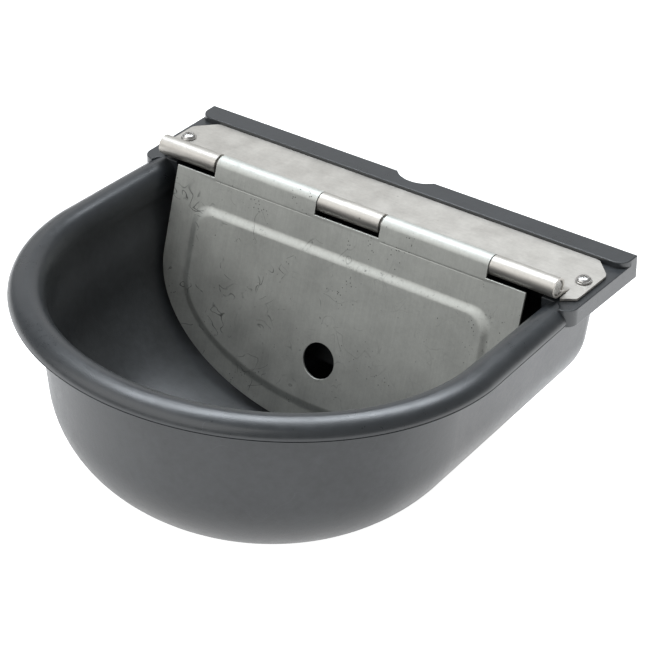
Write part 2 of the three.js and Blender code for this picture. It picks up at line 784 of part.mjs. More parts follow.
function floatPiece() {
  const { half, front, back, top, bottom, boltY, edge, corner, boreRadius } = floatBlock;
  const right = half - corner;
  const shape = new THREE.Shape();
  shape.moveTo(half - edge, back - corner - edge);
  shape.absarc(right, back - corner, corner - edge, 0, Math.PI / 2, false);
  shape.absarc(-right, back - corner, corner - edge, Math.PI / 2, Math.PI, false);
  shape.absarc(-right, front + corner, corner - edge, Math.PI, 1.5 * Math.PI, false);
  shape.absarc(right, front + corner, corner - edge, 1.5 * Math.PI, 2 * Math.PI, false);
  const geometry = new THREE.ExtrudeGeometry(shape, {
    depth: top - bottom - 2 * edge,
    bevelEnabled: true,
    bevelThickness: edge,
    bevelSize: edge,
    bevelSegments: 2,
    curveSegments: 4,
  });
  geometry.translate(0, 0, bottom + edge);
  const bore = rodZ(boreRadius, bottom - PAST, top + PAST, 0, boltY);
  return piece("float_block", geometryFrom(cut(solidFrom(geometry), bore)), floatPlastic);
}

function floatBolt() {
  const seat = floatBlock.top + arm.padThickness + 2 * GAP;
  const solid = joined(
    rodZ(bolt.radius, floatBlock.bottom - bolt.end, seat + 1, 0, floatBlock.boltY),
    rodZ(bolt.headRadius, seat, seat + bolt.headHeight, 0, floatBlock.boltY, 6),
  );
  return piece("float_bolt", geometryFrom(solid), stainless);
}

function floatNut() {
  const top = floatBlock.bottom - GAP;
  const nut = joined(rodZ(bolt.headRadius, top - bolt.nutHeight, top, 0, floatBlock.boltY, 6));
  const hole = rodZ(bolt.holeRadius, top - PAST, top + PAST, 0, floatBlock.boltY);
  return piece("float_nut", geometryFrom(cut(nut, hole)), stainless);
}

// ---------------------------------------------------------------- drain plug

function drainPlug() {
  const shankRadius = drain.holeRadius - GAP;
  const points = [
    [0, -plug.depth],
    [plug.tipRadius, -plug.depth],
    [shankRadius, plug.taper - plug.depth],
    [shankRadius, 0],
    [plug.capRadius, 0],
    [plug.capRadius, plug.capEdge],
    [plug.domeRadius, plug.domeEdge],
    [0, plug.top],
  ].map(([radius, height]) => new THREE.Vector2(radius, height));
  const body = new THREE.LatheGeometry(points, 24).rotateX(Math.PI / 2);
  const tab = rodY(plug.tabRadius, -plug.tabHalf, plug.tabHalf, 0, plug.tabZ);
  const hole = rodY(plug.tabHoleRadius, -PAST, PAST, 0, plug.tabHoleZ);
  const mesh = piece("drain_plug", geometryFrom(cut(joined(body, tab), hole)), blackRubber);
  mesh.position.set(0, drain.y, drain.seatZ + GAP);
  return mesh;
}

// ---------------------------------------------------------------- assembly

const trough = new THREE.Group();
trough.add(bowlBody(), hingePlate(), coverFlap(), hingePin());
for (const [word, side] of [["left", -1], ["right", 1]]) {
  trough.add(coverScrewPiece(`cover_screw_${word}`, side), screwInsert(`screw_insert_${word}`, side));
}
trough.add(valveBody(), valveNozzle(), inletStrainer(), lockNutPiece());
trough.add(washerPiece("inner_washer", wallInside - GAP, washer.outer));
trough.add(washerPiece("outer_washer", wallOutside + GAP + washer.thick, washer.outer + 1));
trough.add(valvePlunger(), plungerSeal());
trough.add(floatArm(), pivotPin(), pivotClip(), floatPiece(), floatBolt(), floatNut());
trough.add(drainPlug());

// Put the origin at the bottom centre of everything.
trough.updateMatrixWorld(true);
const box = new THREE.Box3().setFromObject(trough, true);
trough.position.set(0, -(box.min.y + box.max.y) / 2, -box.min.z);

const model = new THREE.Group();
model.add(trough);

export default model;
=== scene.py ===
"""Looks for a wall-hung livestock drinking bowl with a float valve behind a stainless flap.

Every piece is drawn in the trough frame, in millimetres: X runs along the back, Y = 0 is the
back plane with the front at -Y, and Z = 0 is the top of the rear flange. A piece on the flap is
drawn in the flap's own frame: the hinge axis is X, the sheet hangs to -Y and faces +Z.
"""

import json
import math
from contextlib import contextmanager
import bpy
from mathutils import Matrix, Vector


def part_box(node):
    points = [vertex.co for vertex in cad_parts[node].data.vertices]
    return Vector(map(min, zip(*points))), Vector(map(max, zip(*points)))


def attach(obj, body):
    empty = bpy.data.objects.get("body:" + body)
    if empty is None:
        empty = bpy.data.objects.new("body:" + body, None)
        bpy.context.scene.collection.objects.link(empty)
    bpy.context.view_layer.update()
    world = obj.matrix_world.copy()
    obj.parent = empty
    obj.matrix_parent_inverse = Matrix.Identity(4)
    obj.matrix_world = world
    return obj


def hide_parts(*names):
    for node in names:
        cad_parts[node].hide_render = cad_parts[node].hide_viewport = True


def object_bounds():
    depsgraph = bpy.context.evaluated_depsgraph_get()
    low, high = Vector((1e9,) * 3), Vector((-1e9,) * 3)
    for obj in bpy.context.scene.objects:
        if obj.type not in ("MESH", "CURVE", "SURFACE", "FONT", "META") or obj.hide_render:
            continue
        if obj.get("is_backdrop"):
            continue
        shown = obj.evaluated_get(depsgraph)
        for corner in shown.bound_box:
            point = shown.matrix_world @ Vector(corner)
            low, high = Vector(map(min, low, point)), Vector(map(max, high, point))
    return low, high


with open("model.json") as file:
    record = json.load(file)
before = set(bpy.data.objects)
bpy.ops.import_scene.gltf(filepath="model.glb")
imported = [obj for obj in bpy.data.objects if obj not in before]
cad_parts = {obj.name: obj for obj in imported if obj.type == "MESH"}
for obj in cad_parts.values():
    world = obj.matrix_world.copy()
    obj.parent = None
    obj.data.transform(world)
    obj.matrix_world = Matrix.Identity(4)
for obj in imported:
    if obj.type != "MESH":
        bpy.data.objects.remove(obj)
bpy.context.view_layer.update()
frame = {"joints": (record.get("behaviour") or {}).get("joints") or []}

from types import SimpleNamespace as Sizes

import bmesh
import bpy
from mathutils import Matrix, Vector
from mathutils.geometry import delaunay_2d_cdt

MM = 0.001
DEGREE = math.pi / 180

# ---------------------------------------------------------------- driving dimensions

SHEET = 1.5
WALL = 3.5
GAP = 0.3

flange = Sizes(depth=72, thickness=11, rail_height=3.8, rail_depth=14.6, front_corner=8,
               opening_back=24, opening_half=131.5, opening_corner=12)

body_low, body_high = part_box("bowl_body")
ORIGIN = Vector((0, body_high.y, body_high.z - flange.rail_height * MM))
TROUGH = Matrix.Translation(ORIGIN)
WIDTH = (body_high.x - body_low.x) / MM
DEPTH = (body_high.y - body_low.y) / MM

bowl = Sizes(depth=128.9, floor_slope=0.085, mid_length=149.6, wall_top=-12, half_width=137,
             front_reach=120, side_draft=math.tan(7.3 * DEGREE), front_draft=math.tan(2 * DEGREE),
             round_height=68, side_round=96, front_round=103, back_round_height=43,
             back_round=38, back_corner=16)

lip = Sizes(centre=147.6, inner_half=133.3, inner_reach=114.4, outer_half=WIDTH / 2,
            outer_reach=DEPTH - 147.6, back_start=60, back_outer_half=151.5,
            back_inner_half=132.3, blend_low=-44, blend_high=-18, wall_cut=-14)

# The half-round groove down the back for the supply pipe.
pipe_groove = Sizes(radius=18, behind=11.5)


def joint_place(name):
    """Where a joint's axis is, in the trough frame, in millimetres."""
    joint = next(joint for joint in frame["joints"] if joint["name"] == name)
    return (Vector(joint["pos_m"]) - ORIGIN) / MM


hinge = Sizes(y=joint_place("flap_hinge").y, z=joint_place("flap_hinge").z, roll_radius=6.1,
              pin_radius=4.4, half_length=142, outer_joint=98.5, centre_joint=22.6,
              joint_gap=0.6, flap_shift=0.6, ramp_start=14, ramp_end=4, root=9)

plate = Sizes(half_width=150.8, rear=-14.9, rear_chamfer=12, side_end=-59, tab_end=-65,
              tab_half=142.3, notch_edge=-55.6, corner=2.5, shoulder=5)

flap = Sizes(hang=73 * DEGREE, half_width=125.5, top=7.3, straight=62, round_depth=75,
             hole_drop=91.8, hole_radius=11.1, emboss_top=24.5, emboss_half=109,
             emboss_straight=70, emboss_round=55, emboss_corner=14, emboss_height=1.8,
             emboss_band=6.5, crease_drop=8.6, crease_width=1.2, crease_depth=0.18,
             crease_margin=2, cut_edge=0.32)

FLAP = (TROUGH @ Matrix.Translation(Vector((0, hinge.y, hinge.z)) * MM)
        @ Matrix.Rotation(flap.hang, 4, "X"))

cover_screw = Sizes(x=143.5, y=-40, head_radius=4.9, head_height=2.9, shank_radius=2.3,
                    length=14, hole_radius=2.8)
insert = Sizes(outer=3.5, inner=2.7, length=9.5, boss_radius=5.5, boss_bottom=-17)
inlet = Sizes(z=-44, thread_radius=10.4, thread_pitch=1.814, behind=12, hole_radius=10.9,
              recess_radius=26, recess_depth=8.5)
valve = Sizes(barrel_radius=10, barrel_front=-47, hex_radius=15, hex_length=5, bore_radius=6.7,
              bore_back=-12, waterway_radius=5.6, cheek_inside=5.4, cheek_outside=8.6,
              cheek_back=-35, cheek_bottom=-60.5, slot_half=3.2)
nozzle = Sizes(radius=6.3, front=-18, tip_radius=3.2, tip_front=-22, orifice=1.6)
strainer = Sizes(radius=5.1, front=-10, back=9, wire=0.22, wires=20, collar=2.2)
lock_nut = Sizes(radius=15.6, thickness=6)
washer = Sizes(outer=15.5, inner=10.9, thick=1.6)
plunger = Sizes(radius=6.3, front=-48, back=-29.4, pocket_radius=4.8, pocket_depth=2.4,
                slot_reach=3.1, low_slot_front=4.9)
seal = Sizes(radius=4.5, depth=2.1, proud=2.6)
pivot = Sizes(y=joint_place("float_arm_pivot").y, z=joint_place("float_arm_pivot").z,
              pin_radius=2, head_radius=3.6, inside=9.2, end=12, clip_radius=4.2)
arm = Sizes(half=2.4, tip_radius=2.6, upright_half=1.5, hub_radius=4.6, hub_half=4.8,
            lever_half=4, pad_half=9, pad_front=12, pad_back=7, pad_thickness=2.6)
float_block = Sizes(half=48, front=-80, back=-46, top=-66.8, bottom=-94, bolt_y=-64,
                    corner=10, edge=4.5, bore_radius=3)
bolt = Sizes(radius=2.5, pitch=0.8, head_radius=4.6, head_height=3.2, nut_height=4, end=5.5,
             hole_radius=2.8)
drain = Sizes(y=-150, hole_radius=9.6, seat_radius=17, seat_z=-123.2)
plug = Sizes(depth=6.4, tip_radius=8.4, taper=1.8, cap_radius=14.5, cap_edge=1.6,
             dome_radius=12.4, top=4, tab_radius=6.5, tab_half=2, tab_z=7, tab_hole_radius=3.2,
             tab_hole_z=8)
wall_hole = Sizes(x=75, z=-48, radius=4.5, pad_radius=11, pad_depth=7)
stop_lug = Sizes(x=29, half=7, top=122, bottom=150, thick=6)

# ---------------------------------------------------------------- shape helpers

ALONG = {
    "X": Matrix.Rotation(math.pi / 2, 4, "Y"),
    "Y": Matrix.Rotation(-math.pi / 2, 4, "X"),
    "Z": Matrix.Identity(4),
}


@contextmanager
def edited(mesh):
    """A mesh opened for editing and written back afterwards."""
    work = bmesh.new()
    work.from_mesh(mesh)
    yield work
    work.to_mesh(mesh)
    work.free()


def solid(vertices, faces):
    """A closed mesh in millimetres, with its faces turned outwards."""
    mesh = bpy.data.meshes.new("solid")
    mesh.from_pydata([tuple(vertex) for vertex in vertices], [], faces)
    with edited(mesh) as work:
        bmesh.ops.remove_doubles(work, verts=work.verts, dist=1e-5)
        bmesh.ops.recalc_face_normals(work, faces=work.faces)
    return mesh


def loft(rings):
    """A closed solid through rings of equal length, with a cap at each end."""
    count = len(rings[0])
    faces = [tuple(range(count))]
    for level in range(len(rings) - 1):
        for i in range(count):
            a = level * count + i
            b = level * count + (i + 1) % count
            faces.append((a, b, b + count, a + count))
    last = (len(rings) - 1) * count
    faces.append(tuple(range(last, last + count)))
    return solid([point for ring in rings for point in ring], faces)


def slab(outline, z0, z1):
    """A plan outline, drawn in X and Y, made thick from z0 to z1."""
    return loft([[(x, y, z) for x, y in outline] for z in (z0, z1)])


def along_x(outline, x0, x1):
    """A side view, drawn in Y and Z, made long from x0 to x1."""
    return loft([[(x, y, z) for y, z in outline] for x in (x0, x1)])


def block(x0, x1, y0, y1, z0, z1):
    return slab([(x0, y0), (x1, y0), (x1, y1), (x0, y1)], z0, z1)


def lathe(profile, axis="Z", at=(0, 0, 0), sides=64, first=0):
    """A profile of (radius, height) turned about an axis, with its first side at an angle."""
    turn = Matrix.Translation(at) @ ALONG[axis]
    angles = [first * DEGREE + 2 * math.pi * i / sides for i in range(sides)]
    return loft([[turn @ Vector((radius * math.cos(angle), radius * math.sin(angle), height))
                  for angle in angles] for radius, height in profile])


def rod(radius, start, end, axis="Z", at=(0, 0, 0), edge=0.0, sides=64):
    """A round bar with its end edges rounded off, where an edge is given."""
    if not edge:
        return lathe([(radius, start), (radius, end)], axis, at, sides)
    turns = (0, 22.5, 45, 67.5, 90)
    core = radius - edge
    profile = [(core + edge * math.sin(turn * DEGREE), start + edge - edge * math.cos(turn * DEGREE))
               for turn in turns]
    profile += [(core + edge * math.cos(turn * DEGREE), end - edge + edge * math.sin(turn * DEGREE))
                for turn in turns]
    return lathe(profile, axis, at, sides)


def ring_piece(outer, inner, start, end, axis, at, edge=0.3, sides=64):
    """A flat ring: a washer or a sleeve."""
    body = rod(outer, start, end, axis, at, edge, sides)
    return combine(body, [rod(inner, start - 1, end + 1, axis, at, sides=sides)], "DIFFERENCE")


def hexagon(radius, start, end, axis, at):
    """A hexagonal nut or bolt head, with the corners of both ends turned off."""
    drop = 0.1 * radius
    flat = 0.88 * radius
    blank = lathe([(radius, start), (radius, end)], axis, at, 6, 30)
    turned = [(flat, start), (radius, start + drop), (radius, end - drop), (flat, end)]
    return combine(blank, [lathe(turned, axis, at, 96)], "INTERSECT")


def threaded(major, pitch, start, end, axis, at, sides, steps=8):
    """A bar with a thread all along it, a lead-in at each end and some steps in each turn."""
    turn = Matrix.Translation(at) @ ALONG[axis]
    depth = 0.6 * pitch
    count = max(2, round((end - start) / pitch * steps))
    rings = []
    for level in range(count + 1):
        height = start + (end - start) * level / count
        lead_in = min(1, (height - start) / pitch, (end - height) / pitch)
        ring = []
        for i in range(sides):
            angle = 2 * math.pi * i / sides
            phase = (height / pitch - i / sides) % 1
            ridge = min(1, max(0, 2.4 * abs(2 * phase - 1) - 0.7))
            radius = major - depth * (1 - ridge * lead_in)
            point = Vector((radius * math.cos(angle), radius * math.sin(angle), height))
            ring.append(turn @ point)
        rings.append(ring)
    return loft(rings)


def wire(points, radius):
    """A wire along a line of points, drawn with a few sides because it is so thin."""
    sides = 6
    path = [Vector(point) for point in points]
    rings = []
    for i, point in enumerate(path):
        ahead = (path[min(i + 1, len(path) - 1)] - path[max(i - 1, 0)]).normalized()
        side = ahead.orthogonal().normalized()
        if rings:
            side = (last_side - ahead * last_side.dot(ahead)).normalized()
        last_side = side
        up = ahead.cross(side)
        rings.append([point + radius * (side * math.cos(2 * math.pi * k / sides)
                                        + up * math.sin(2 * math.pi * k / sides))
                      for k in range(sides)])
    return loft(rings)


def round_corners(points, radius, steps=6):
    """A plan outline with each of its corners rounded off."""
    corners = [Vector(point) for point in points]
    curve = []
    for i, corner in enumerate(corners):
        before = (corners[i - 1] - corner).normalized() * radius
        after = (corners[(i + 1) % len(corners)] - corner).normalized() * radius
        for k in range(steps + 1):
            t = k / steps
            curve.append(tuple(corner + before * (1 - t) ** 2 + after * t ** 2))
    return curve


def combine(base, tools, operation):
    """The base with every tool joined to it, cut from it or intersected with it."""
    holder = bpy.data.objects.new("holder", base)
    bpy.context.scene.collection.objects.link(holder)
    helpers = []
    for tool in tools:
        helper = bpy.data.objects.new("tool", tool)
        bpy.context.scene.collection.objects.link(helper)
        helpers.append(helper)
        modifier = holder.modifiers.new("step", "BOOLEAN")
        modifier.operation = operation
        modifier.solver = "MANIFOLD"
        modifier.object = helper
    depsgraph = bpy.context.evaluated_depsgraph_get()
    result = bpy.data.meshes.new_from_object(holder.evaluated_get(depsgraph))
    for item in [holder, *helpers]:
        mesh = item.data
        bpy.data.objects.remove(item)
        bpy.data.meshes.remove(mesh)
    return result


def bevel_sharp(work, width, segments, sharper_than):
    """Rounds off every edge that turns by more than an angle, in radians."""
    edges = [edge for edge in work.edges
             if edge.is_manifold and edge.calc_face_angle() > sharper_than]
    bmesh.ops.bevel(work, geom=edges, offset=width, segments=segments, profile=0.5,
                    affect="EDGES", clamp_overlap=True)


def rounded(mesh, width, segments=3, sharper_than=40):
    """The mesh with the edges that turn by more than an angle, in degrees, rounded off."""
    with edited(mesh) as work:
        bmesh.ops.dissolve_limit(work, angle_limit=0.2 * DEGREE, verts=work.verts,
                                 edges=work.edges)
        bevel_sharp(work, width, segments, sharper_than * DEGREE)
    return mesh


def arc(cx, cy, radius, start, end, steps):
    """Points on an arc, from one angle to another, in degrees."""
    points = []
    for i in range(steps + 1):
        angle = (start + (end - start) * i / steps) * DEGREE
        points.append((cx + radius * math.cos(angle), cy + radius * math.sin(angle)))
    return points


def half_ellipse(half_width, middle, reach, steps):
    """Points round the front, from left to right, in front of a middle line across the bowl."""
    angles = [math.pi + math.pi * i / steps for i in range(steps + 1)]
    return [(half_width * math.cos(angle), -middle + reach * math.sin(angle)) for angle in angles]


def grooves(radius, places, half, floor_half, depth):
    """The part of a profile that goes down into each groove and out again."""
    profile = []
    for place in places:
        profile += [(radius, place - half), (radius - depth, place - floor_half),
                    (radius - depth, place + floor_half), (radius, place + half)]
    return profile


def smooth_through(points, steps):
    """A smooth curve through points, with a number of steps between neighbours."""
    last = len(points) - 1
    curve = []
    for i in range(last):
        before, here, there, after = [Vector(points[min(max(i + k, 0), last)])
                                      for k in (-1, 0, 1, 2)]
        for k in range(steps):
            t = k / steps
            curve.append(0.5 * (2 * here + (there - before) * t
                                + (2 * before - 5 * here + 4 * there - after) * t * t
                                + (3 * here - before - 3 * there + after) * t * t * t))
    return curve + [Vector(points[-1])]


def show(name, meshes, material, body, place=TROUGH, smooth=32, node=None):
    """Puts a piece in the scene: joins its meshes, shades it and has it ride on its body."""
    work = bmesh.new()
    for mesh in meshes:
        work.from_mesh(mesh)
        bpy.data.meshes.remove(mesh)
    bmesh.ops.scale(work, vec=(MM, MM, MM), verts=work.verts)
    mesh = bpy.data.meshes.new(name)
    work.to_mesh(mesh)
    work.free()
    mesh.shade_smooth()
    mesh.set_sharp_from_angle(angle=smooth * DEGREE)
    mesh.materials.clear()
    mesh.materials.append(material)
    piece = bpy.data.objects.new(name, mesh)
    piece.matrix_world = place
    bpy.context.scene.collection.objects.link(piece)
    flat_faces = piece.modifiers.new("flat_faces", "WEIGHTED_NORMAL")
    flat_faces.keep_sharp = True
    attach(piece, body)
    if node:
        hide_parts(node)
    return piece


# ---------------------------------------------------------------- material helpers


def add(tree, kind, inputs=None, **settings):
    """A new node. Inputs that are sockets are linked, and others are set."""
    node = tree.nodes.new(kind)
    for key, value in settings.items():
        setattr(node, key, value)
    for key, value in (inputs or {}).items():
        if isinstance(value, bpy.types.NodeSocket):
            tree.links.new(value, node.inputs[key])
        else:
            node.inputs[key].default_value = value
    return node


def new_material(name):
    material = bpy.data.materials.new(name)
    material.use_nodes = True
    tree = material.node_tree
    return material, tree, tree.nodes["Principled BSDF"]


def place_in_piece(tree, stretch=(1, 1, 1)):
    """A point's place in its piece, in metres, stretched along the axes."""
    where = add(tree, "ShaderNodeTexCoord").outputs["Object"]
    return add(tree, "ShaderNodeMapping", {"Vector": where, "Scale": stretch}).outputs["Vector"]


def noise(tree, where, scale, detail=3.0, roughness=0.55, distortion=0.0):
    inputs = {"Vector": where, "Scale": scale, "Detail": detail, "Roughness": roughness,
              "Distortion": distortion}
    return add(tree, "ShaderNodeTexNoise", inputs).outputs["Fac"]


def remap(tree, value, low, high, to_low, to_high):
    """Carries a value from one range to another, and holds it at the ends."""
    inputs = {"Value": value, "From Min": low, "From Max": high, "To Min": to_low,
              "To Max": to_high}
    return add(tree, "ShaderNodeMapRange", inputs).outputs["Result"]


def calc(tree, operation, a, b=0.0):
    return add(tree, "ShaderNodeMath", {0: a, 1: b}, operation=operation).outputs[0]


def times(tree, first, *others):
    """The product of values."""
    for other in others:
        first = calc(tree, "MULTIPLY", first, other)
    return first


def largest(tree, first, *others):
    for other in others:
        first = calc(tree, "MAXIMUM", first, other)
    return first


def weighted(tree, *pairs):
    """The sum of values, each times its weight."""
    total = times(tree, *pairs[0])
    for pair in pairs[1:]:
        total = calc(tree, "ADD", total, times(tree, *pair))
    return total


def blend_colour(tree, share, a, b):
    mix = add(tree, "ShaderNodeMix", {"Factor": share}, data_type="RGBA")
    for key, value in (("A", a), ("B", b)):
        socket = next(s for s in mix.inputs if s.name == key and s.type == "RGBA")
        if isinstance(value, bpy.types.NodeSocket):
            tree.links.new(value, socket)
        else:
            socket.default_value = value
    return next(s for s in mix.outputs if s.type == "RGBA")


def bump(tree, height, depth, strength=1.0, after=None):
    inputs = {"Height": height, "Distance": depth, "Strength": strength}
    if after is not None:
        inputs["Normal"] = after
    return add(tree, "ShaderNodeBump", inputs).outputs["Normal"]


def nearness(tree, value, centre, reach):
    """1 where a value is at its centre, falling to 0 at a reach on either side."""
    away = calc(tree, "ABSOLUTE", calc(tree, "SUBTRACT", value, centre))
    return remap(tree, away, 0.0, reach, 1.0, 0.0)


def thin_lines(tree, where, scale, width, distortion):
    """1 on thin wandering lines and 0 elsewhere: the places where a noise crosses its middle."""
    field = noise(tree, where, scale, detail=1.5, distortion=distortion)
    return nearness(tree, field, 0.5, width)


def dots(tree, where, scale, inner, outer):
    """1 on small round specks and 0 elsewhere."""
    cells = add(tree, "ShaderNodeTexVoronoi", {"Vector": where, "Scale": scale})
    return remap(tree, cells.outputs["Distance"], inner, outer, 1.0, 0.0)


def colour(red, green, blue):
    return (red, green, blue, 1.0)


def shade(base, factor, lift=0.0):
    """A colour made darker or paler."""
    return colour(*(min(1.0, channel * factor + lift) for channel in base))


# ---------------------------------------------------------------- materials


def moulded_plastic(name, base, rough=0.36, polished_above=None):
    """Satin moulded plastic: blotchy cloudiness, a fine eggshell texture and a few pale scuffs.

    Above a height, where there is one, the mould was polished: the skin is darker and glossier.
    """
    material, tree, shader = new_material(name)
    where = place_in_piece(tree)
    clouds = noise(tree, where, 22, detail=6, roughness=0.62)
    blotches = noise(tree, where, 210, detail=3, roughness=0.6)
    fine = noise(tree, where, 1300, detail=2)
    scuff_zone = remap(tree, noise(tree, where, 16), 0.54, 0.68, 0.0, 1.0)
    scuffs = times(tree, thin_lines(tree, where, 30, 0.004, 0.3), scuff_zone, 0.3)
    mixed = weighted(tree, (clouds, 0.6), (blotches, 0.4))
    tone = blend_colour(tree, remap(tree, mixed, 0.35, 0.65, 0.0, 1.0), shade(base, 0.8),
                        shade(base, 1.25))
    roughness = calc(tree, "ADD", remap(tree, mixed, 0.35, 0.65, rough - 0.05, rough + 0.06),
                     remap(tree, fine, 0.3, 0.7, -0.03, 0.03))
    if polished_above is not None:
        height = add(tree, "ShaderNodeSeparateXYZ", {"Vector": where}).outputs["Z"]
        polish = remap(tree, height, polished_above - MM, polished_above + MM, 0.0, 1.0)
        tone = blend_colour(tree, times(tree, polish, 0.5), tone, colour(0.011, 0.015, 0.0185))
        roughness = calc(tree, "SUBTRACT", roughness, times(tree, polish, 0.04))
        tree.links.new(remap(tree, polish, 0.0, 1.0, 0.5, 0.68), shader.inputs["Specular IOR Level"])
        blotches = times(tree, blotches, remap(tree, polish, 0.0, 1.0, 1.0, 0.35))
    tree.links.new(roughness, shader.inputs["Roughness"])
    tree.links.new(blend_colour(tree, scuffs, tone, shade(base, 2.4, 0.02)),
                   shader.inputs["Base Color"])
    dimples = bump(tree, blotches, 0.00022, 0.35)
    tree.links.new(bump(tree, fine, 0.00005, 0.8, dimples), shader.inputs["Normal"])
    shader.inputs["IOR"].default_value = 1.5
    return material


def steel_surface(tree, shader, base, rough, stretch, dirt):
    """Brushed satin sheet: fine grain, slow waves and mottling, with dirt where it's given."""
    where = place_in_piece(tree)
    grain = noise(tree, place_in_piece(tree, stretch), 1.0, detail=4, roughness=0.65)
    wave = noise(tree, where, 15, detail=1)
    clouds = noise(tree, where, 48, detail=6, roughness=0.66)
    fine = noise(tree, where, 420, detail=4, roughness=0.7)
    mixed = weighted(tree, (clouds, 0.4), (fine, 0.35), (grain, 0.25))
    tone = blend_colour(tree, remap(tree, mixed, 0.36, 0.64, 0.0, 1.0), shade(base, 0.87),
                        shade(base, 1.09))
    tree.links.new(blend_colour(tree, dirt, tone, shade(base, 0.16)), shader.inputs["Base Color"])
    even = remap(tree, clouds, 0.3, 0.7, rough - 0.05, rough + 0.05)
    tree.links.new(weighted(tree, (even, 1.0), (dirt, 0.25)), shader.inputs["Roughness"])
    waves = bump(tree, wave, 0.0005, 0.3)
    tree.links.new(bump(tree, grain, 0.000012, 0.5, waves), shader.inputs["Normal"])
    shader.inputs["Metallic"].default_value = 1.0


def plate_steel_material():
    """The fixed plate's sheet, brushed along its length and nearly clean."""
    material, tree, shader = new_material("plate_steel")
    where = place_in_piece(tree)
    zone = remap(tree, noise(tree, where, 40, detail=2), 0.56, 0.64, 0.0, 0.5)
    dirt = times(tree, dots(tree, where, 130, 0.05, 0.12), zone)
    steel_surface(tree, shader, (0.535, 0.514, 0.476), 0.48, (60, 900, 900), dirt)
    return material


def flap_steel_material():
    """The flap's sheet: scraped along the edge of the pressed panel and over its left part."""
    material, tree, shader = new_material("flap_steel")
    where = place_in_piece(tree)
    split = add(tree, "ShaderNodeSeparateXYZ", {"Vector": where})
    across, down = split.outputs["X"], split.outputs["Y"]
    out = calc(tree, "ABSOLUTE", across)

    # Flecks on the step round the panel: its top, its straight sides and its round end.
    side = (flap.emboss_half - flap.emboss_band / 2) * MM
    top = -(flap.emboss_top + flap.emboss_band / 2) * MM
    top_edge = times(tree, nearness(tree, down, top, 0.004),
                     remap(tree, out, side, side + 0.003, 1.0, 0.0))
    low = calc(tree, "DIVIDE", calc(tree, "ADD", down, flap.emboss_straight * MM),
               (flap.emboss_round - flap.emboss_band / 2) * MM)
    wide = calc(tree, "DIVIDE", across, side)
    from_middle = calc(tree, "SQRT", weighted(tree, (low, low), (wide, wide)))
    in_round = remap(tree, low, -0.05, 0.0, 1.0, 0.0)
    round_edge = times(tree, nearness(tree, from_middle, 1.0, 0.06), in_round)
    below_top = remap(tree, down, -0.030, -0.026, 1.0, 0.0)
    straight_edge = times(tree, nearness(tree, out, side, 0.004), below_top,
                          calc(tree, "SUBTRACT", 1.0, in_round))
    broken = remap(tree, noise(tree, where, 75, detail=3), 0.49, 0.56, 0.0, 1.0)
    flecks = remap(tree, noise(tree, where, 520, detail=4, roughness=0.7), 0.57, 0.64, 0.0, 0.55)
    on_edges = times(tree, broken, largest(tree, straight_edge, round_edge, top_edge), flecks)

    # Scrapes, mostly over the left part and below the rolls.
    lines = largest(tree, thin_lines(tree, where, 26, 0.007, 0.7),
                    thin_lines(tree, where, 60, 0.012, 0.5))
    left_part = remap(tree, across, -0.07, 0.03, 1.0, 0.15)
    low_enough = remap(tree, down, -0.024, -0.016, 1.0, 0.1)
    rare = remap(tree, noise(tree, where, 30, detail=2), 0.4, 0.5, 0.0, 1.0)
    scrapes = times(tree, lines, broken, left_part, low_enough, rare)

    # Specks, in patches and inside the panel's right side.
    right_side = times(tree, nearness(tree, across, 0.097, 0.006),
                       remap(tree, down, -0.075, -0.045, 0.0, 1.0),
                       remap(tree, down, -0.034, -0.03, 1.0, 0.0))
    patches = remap(tree, noise(tree, where, 70, detail=2), 0.56, 0.64, 0.0, 0.8)
    specks = times(tree, dots(tree, where, 420, 0.1, 0.2), largest(tree, right_side, patches))
    steel_surface(tree, shader, (0.575, 0.585, 0.553), 0.6, (800, 40, 800),
                  largest(tree, scrapes, on_edges, specks))
    return material


def mottled(name, first, second, scale, rough_low, rough_high, detail=5):
    """A new material that wavers between two colours and between two roughnesses."""
    material, tree, shader = new_material(name)
    where = place_in_piece(tree)
    clouds = noise(tree, where, scale, detail=detail)
    tree.links.new(blend_colour(tree, clouds, first, second), shader.inputs["Base Color"])
    tree.links.new(remap(tree, clouds, 0.3, 0.7, rough_low, rough_high),
                   shader.inputs["Roughness"])
    return material, tree, shader, where


def bright_metal(name, base, rough):
    """Turned or drawn metal: bright, with fine marks and a little tarnish."""
    material, tree, shader, where = mottled(name, shade(base, 0.72), colour(*base), 220,
                                            rough - 0.04, rough + 0.08, detail=4)
    fine = noise(tree, where, 2600, detail=2)
    tree.links.new(bump(tree, fine, 0.00002), shader.inputs["Normal"])
    shader.inputs["Metallic"].default_value = 1.0
    return material


def rubber(name, base):
    """Black rubber: dull, with a fine bloom."""
    material, tree, shader, where = mottled(name, colour(*base), shade(base, 1.9), 90, 0.62, 0.8)
    fine = noise(tree, where, 1800, detail=2)
    tree.links.new(bump(tree, fine, 0.00005), shader.inputs["Normal"])
    return material


def foamed_plastic(name, base):
    """The float's closed-cell skin: small pits and a chalky bloom."""
    material, tree, shader, where = mottled(name, colour(*base), shade(base, 1.8), 60, 0.55, 0.75)
    cells = add(tree, "ShaderNodeTexVoronoi", {"Vector": where, "Scale": 900.0})
    tree.links.new(bump(tree, cells.outputs["Distance"], 0.0002, 0.5), shader.inputs["Normal"])
    return material


